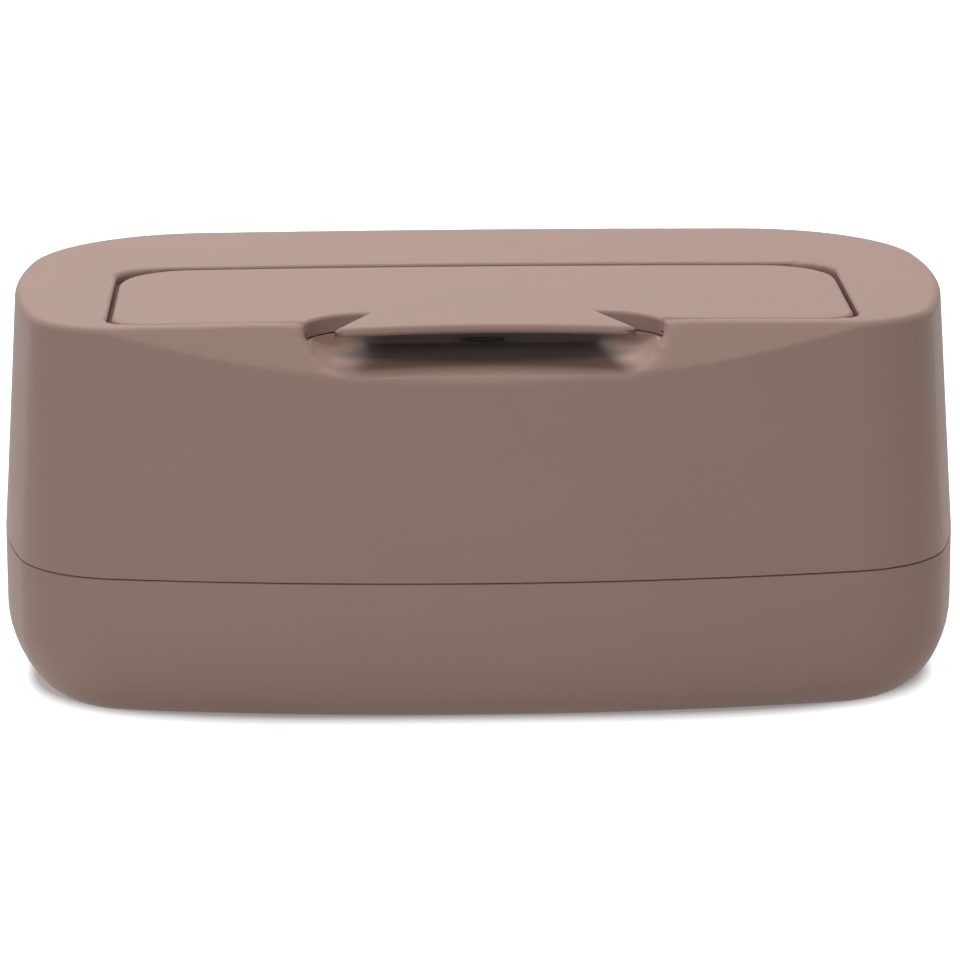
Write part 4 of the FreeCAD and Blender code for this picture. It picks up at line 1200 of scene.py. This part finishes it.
# studio
@dataclass(frozen=True)
class Softbox:
    """A rectangular white lamp aimed at a point."""

    name: str
    place: Point
    target: Point
    size: Pair
    power: float

    def hang(self) -> None:
        """Put the lamp in the scene."""
        lamp = bpy.data.lights.new(self.name, "AREA")
        lamp.shape = "RECTANGLE"
        lamp.size, lamp.size_y = self.size
        lamp.energy = self.power
        holder = placed(self.name, lamp)
        aim = Vector(self.target) - Vector(self.place)
        holder.location = self.place
        holder.rotation_euler = aim.to_track_quat("-Z", "Y").to_euler()


@dataclass(frozen=True)
class Viewpoint:
    """The camera that took the photograph."""

    target: Point = (0.0, 0.0, 0.050)
    distance: float = 1.100
    elevation: float = 13.32
    yaw: float = -1.63
    roll: float = -0.2
    focal_pixels: float = 4723.6
    centre: Pair = (478.26, 453.17)
    frame_pixels: float = 960.0
    sensor_width: float = 36.0
    clip_start: float = 10.0 * MM

    def set_up(self) -> None:
        """Make the camera and look through it."""
        yaw, tilt, roll = (math.radians(part) for part in (self.yaw, self.elevation, self.roll))
        level = math.cos(tilt)
        back = Vector((math.sin(yaw) * level, -math.cos(yaw) * level, math.sin(tilt)))
        right = Vector((math.cos(yaw), math.sin(yaw), 0.0))
        up = back.cross(right)
        across = right * math.cos(roll) + up * math.sin(roll)
        upward = up * math.cos(roll) - right * math.sin(roll)
        lens = bpy.data.cameras.new("photo_camera")
        lens.sensor_fit = "HORIZONTAL"
        lens.sensor_width = self.sensor_width
        lens.lens = self.focal_pixels / self.frame_pixels * self.sensor_width
        lens.shift_x = (self.frame_pixels / 2 - self.centre[0]) / self.frame_pixels
        lens.shift_y = (self.centre[1] - self.frame_pixels / 2) / self.frame_pixels
        lens.clip_start = self.clip_start
        matrix = Matrix((across, upward, back)).transposed().to_4x4()
        matrix.translation = Vector(self.target) + back * self.distance
        holder = placed("photo_camera", lens)
        holder.matrix_world = matrix
        bpy.context.scene.camera = holder


@dataclass
class Studio:
    """White table, soft lamps and the camera."""

    ambient: float = 0.10
    table_half: float = 3.0
    table_colour: Colour = (0.72, 0.72, 0.72)
    lift: float = 0.27
    shadow_middle: float = 8.0 * MM
    shadow_start: Pair = (103.8 * MM, 53.5 * MM)
    shadow_end: Pair = (106.6 * MM, 62.2 * MM)
    shadow_power: float = 3.44
    lamps: Sequence[Softbox] = (
        Softbox("overhead_softbox", (-0.10, 0.30, 1.20), (0.0, 0.02, 0.05), (0.6, 1.6), 12.5),
        Softbox("front_softbox", (-0.38, -1.12, 0.58), (0.0, 0.0, 0.05), (0.8, 0.3), 3.45),
    )

    def build(self) -> None:
        """Make the table, the world, the lamps and the camera."""
        self.table()
        self.surroundings()
        for lamp in self.lamps:
            lamp.hang()
        Viewpoint().set_up()
        bpy.context.scene.view_settings.view_transform = "Standard"

    def table(self) -> None:
        """A white table that keeps the shadow and fades to plain white."""
        half = self.table_half
        corners = [(-half, -half, 0.0), (half, -half, 0.0), (half, half, 0.0), (-half, half, 0.0)]
        mesh = bpy.data.meshes.new("table")
        mesh.from_pydata(corners, [], [(0, 1, 2, 3)])
        surface = Surface("table_white", self.table_colour)
        matt = surface.add("ShaderNodeBsdfDiffuse", None, {"Color": (*self.table_colour, 1.0)})
        strength = surface.seen() * (self.lift + self.fading(surface) * (1.0 - self.lift))
        glow = surface.add("ShaderNodeEmission", None, {"Strength": strength})
        both = surface.add("ShaderNodeAddShader", None, {0: matt["BSDF"], 1: glow["Emission"]})
        surface.add("ShaderNodeOutputMaterial", None, {"Surface": both["Shader"]})
        mesh.materials.append(surface.material)
        table = placed("table", mesh)

    def fading(self, surface: Surface) -> Wire:
        """How far the contact shadow has faded between its inner and its outer contour.

        Args:
            surface: The table's material.

        Returns:
            The share, from 0 to 1.
        """
        parts = surface.parts()
        away = (abs(parts["X"]), abs(parts["Y"] - self.shadow_middle))
        reaches = []
        for halves in (self.shadow_start, self.shadow_end):
            powers = ((part / half).powered(self.shadow_power) for part, half in zip(away, halves))
            reaches.append(Wire.total(powers).powered(1.0 / self.shadow_power))
        first, last = reaches
        return (last * (first - 1.0) / (first - last)).between(0.0, 1.0)

    def surroundings(self) -> None:
        """Even soft light all round, seen by the camera as white."""
        world = bpy.data.worlds.new("white_room")
        world.use_nodes = True
        bpy.context.scene.world = world
        bench = Bench(world.node_tree)
        bench.tree.nodes.clear()
        inputs = {
            "Color": (1.0, 1.0, 1.0, 1.0),
            "Strength": bench.seen() * (1.0 - self.ambient) + self.ambient,
        }
        room = bench.add("ShaderNodeBackground", None, inputs)
        bench.add("ShaderNodeOutputWorld", None, {"Surface": room["Background"]})


def main() -> None:
    """Load the frame, and build every sub-assembly and the studio."""
    logging.basicConfig(level=logging.INFO, format="%(name)s: %(message)s")
    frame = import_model()
    finishes = Finishes.make()
    for assembly in (Base, Cover, Lid, PressPlate):
        assembly(frame, finishes).build()
    Studio().build()


if __name__ == "__main__":
    main()
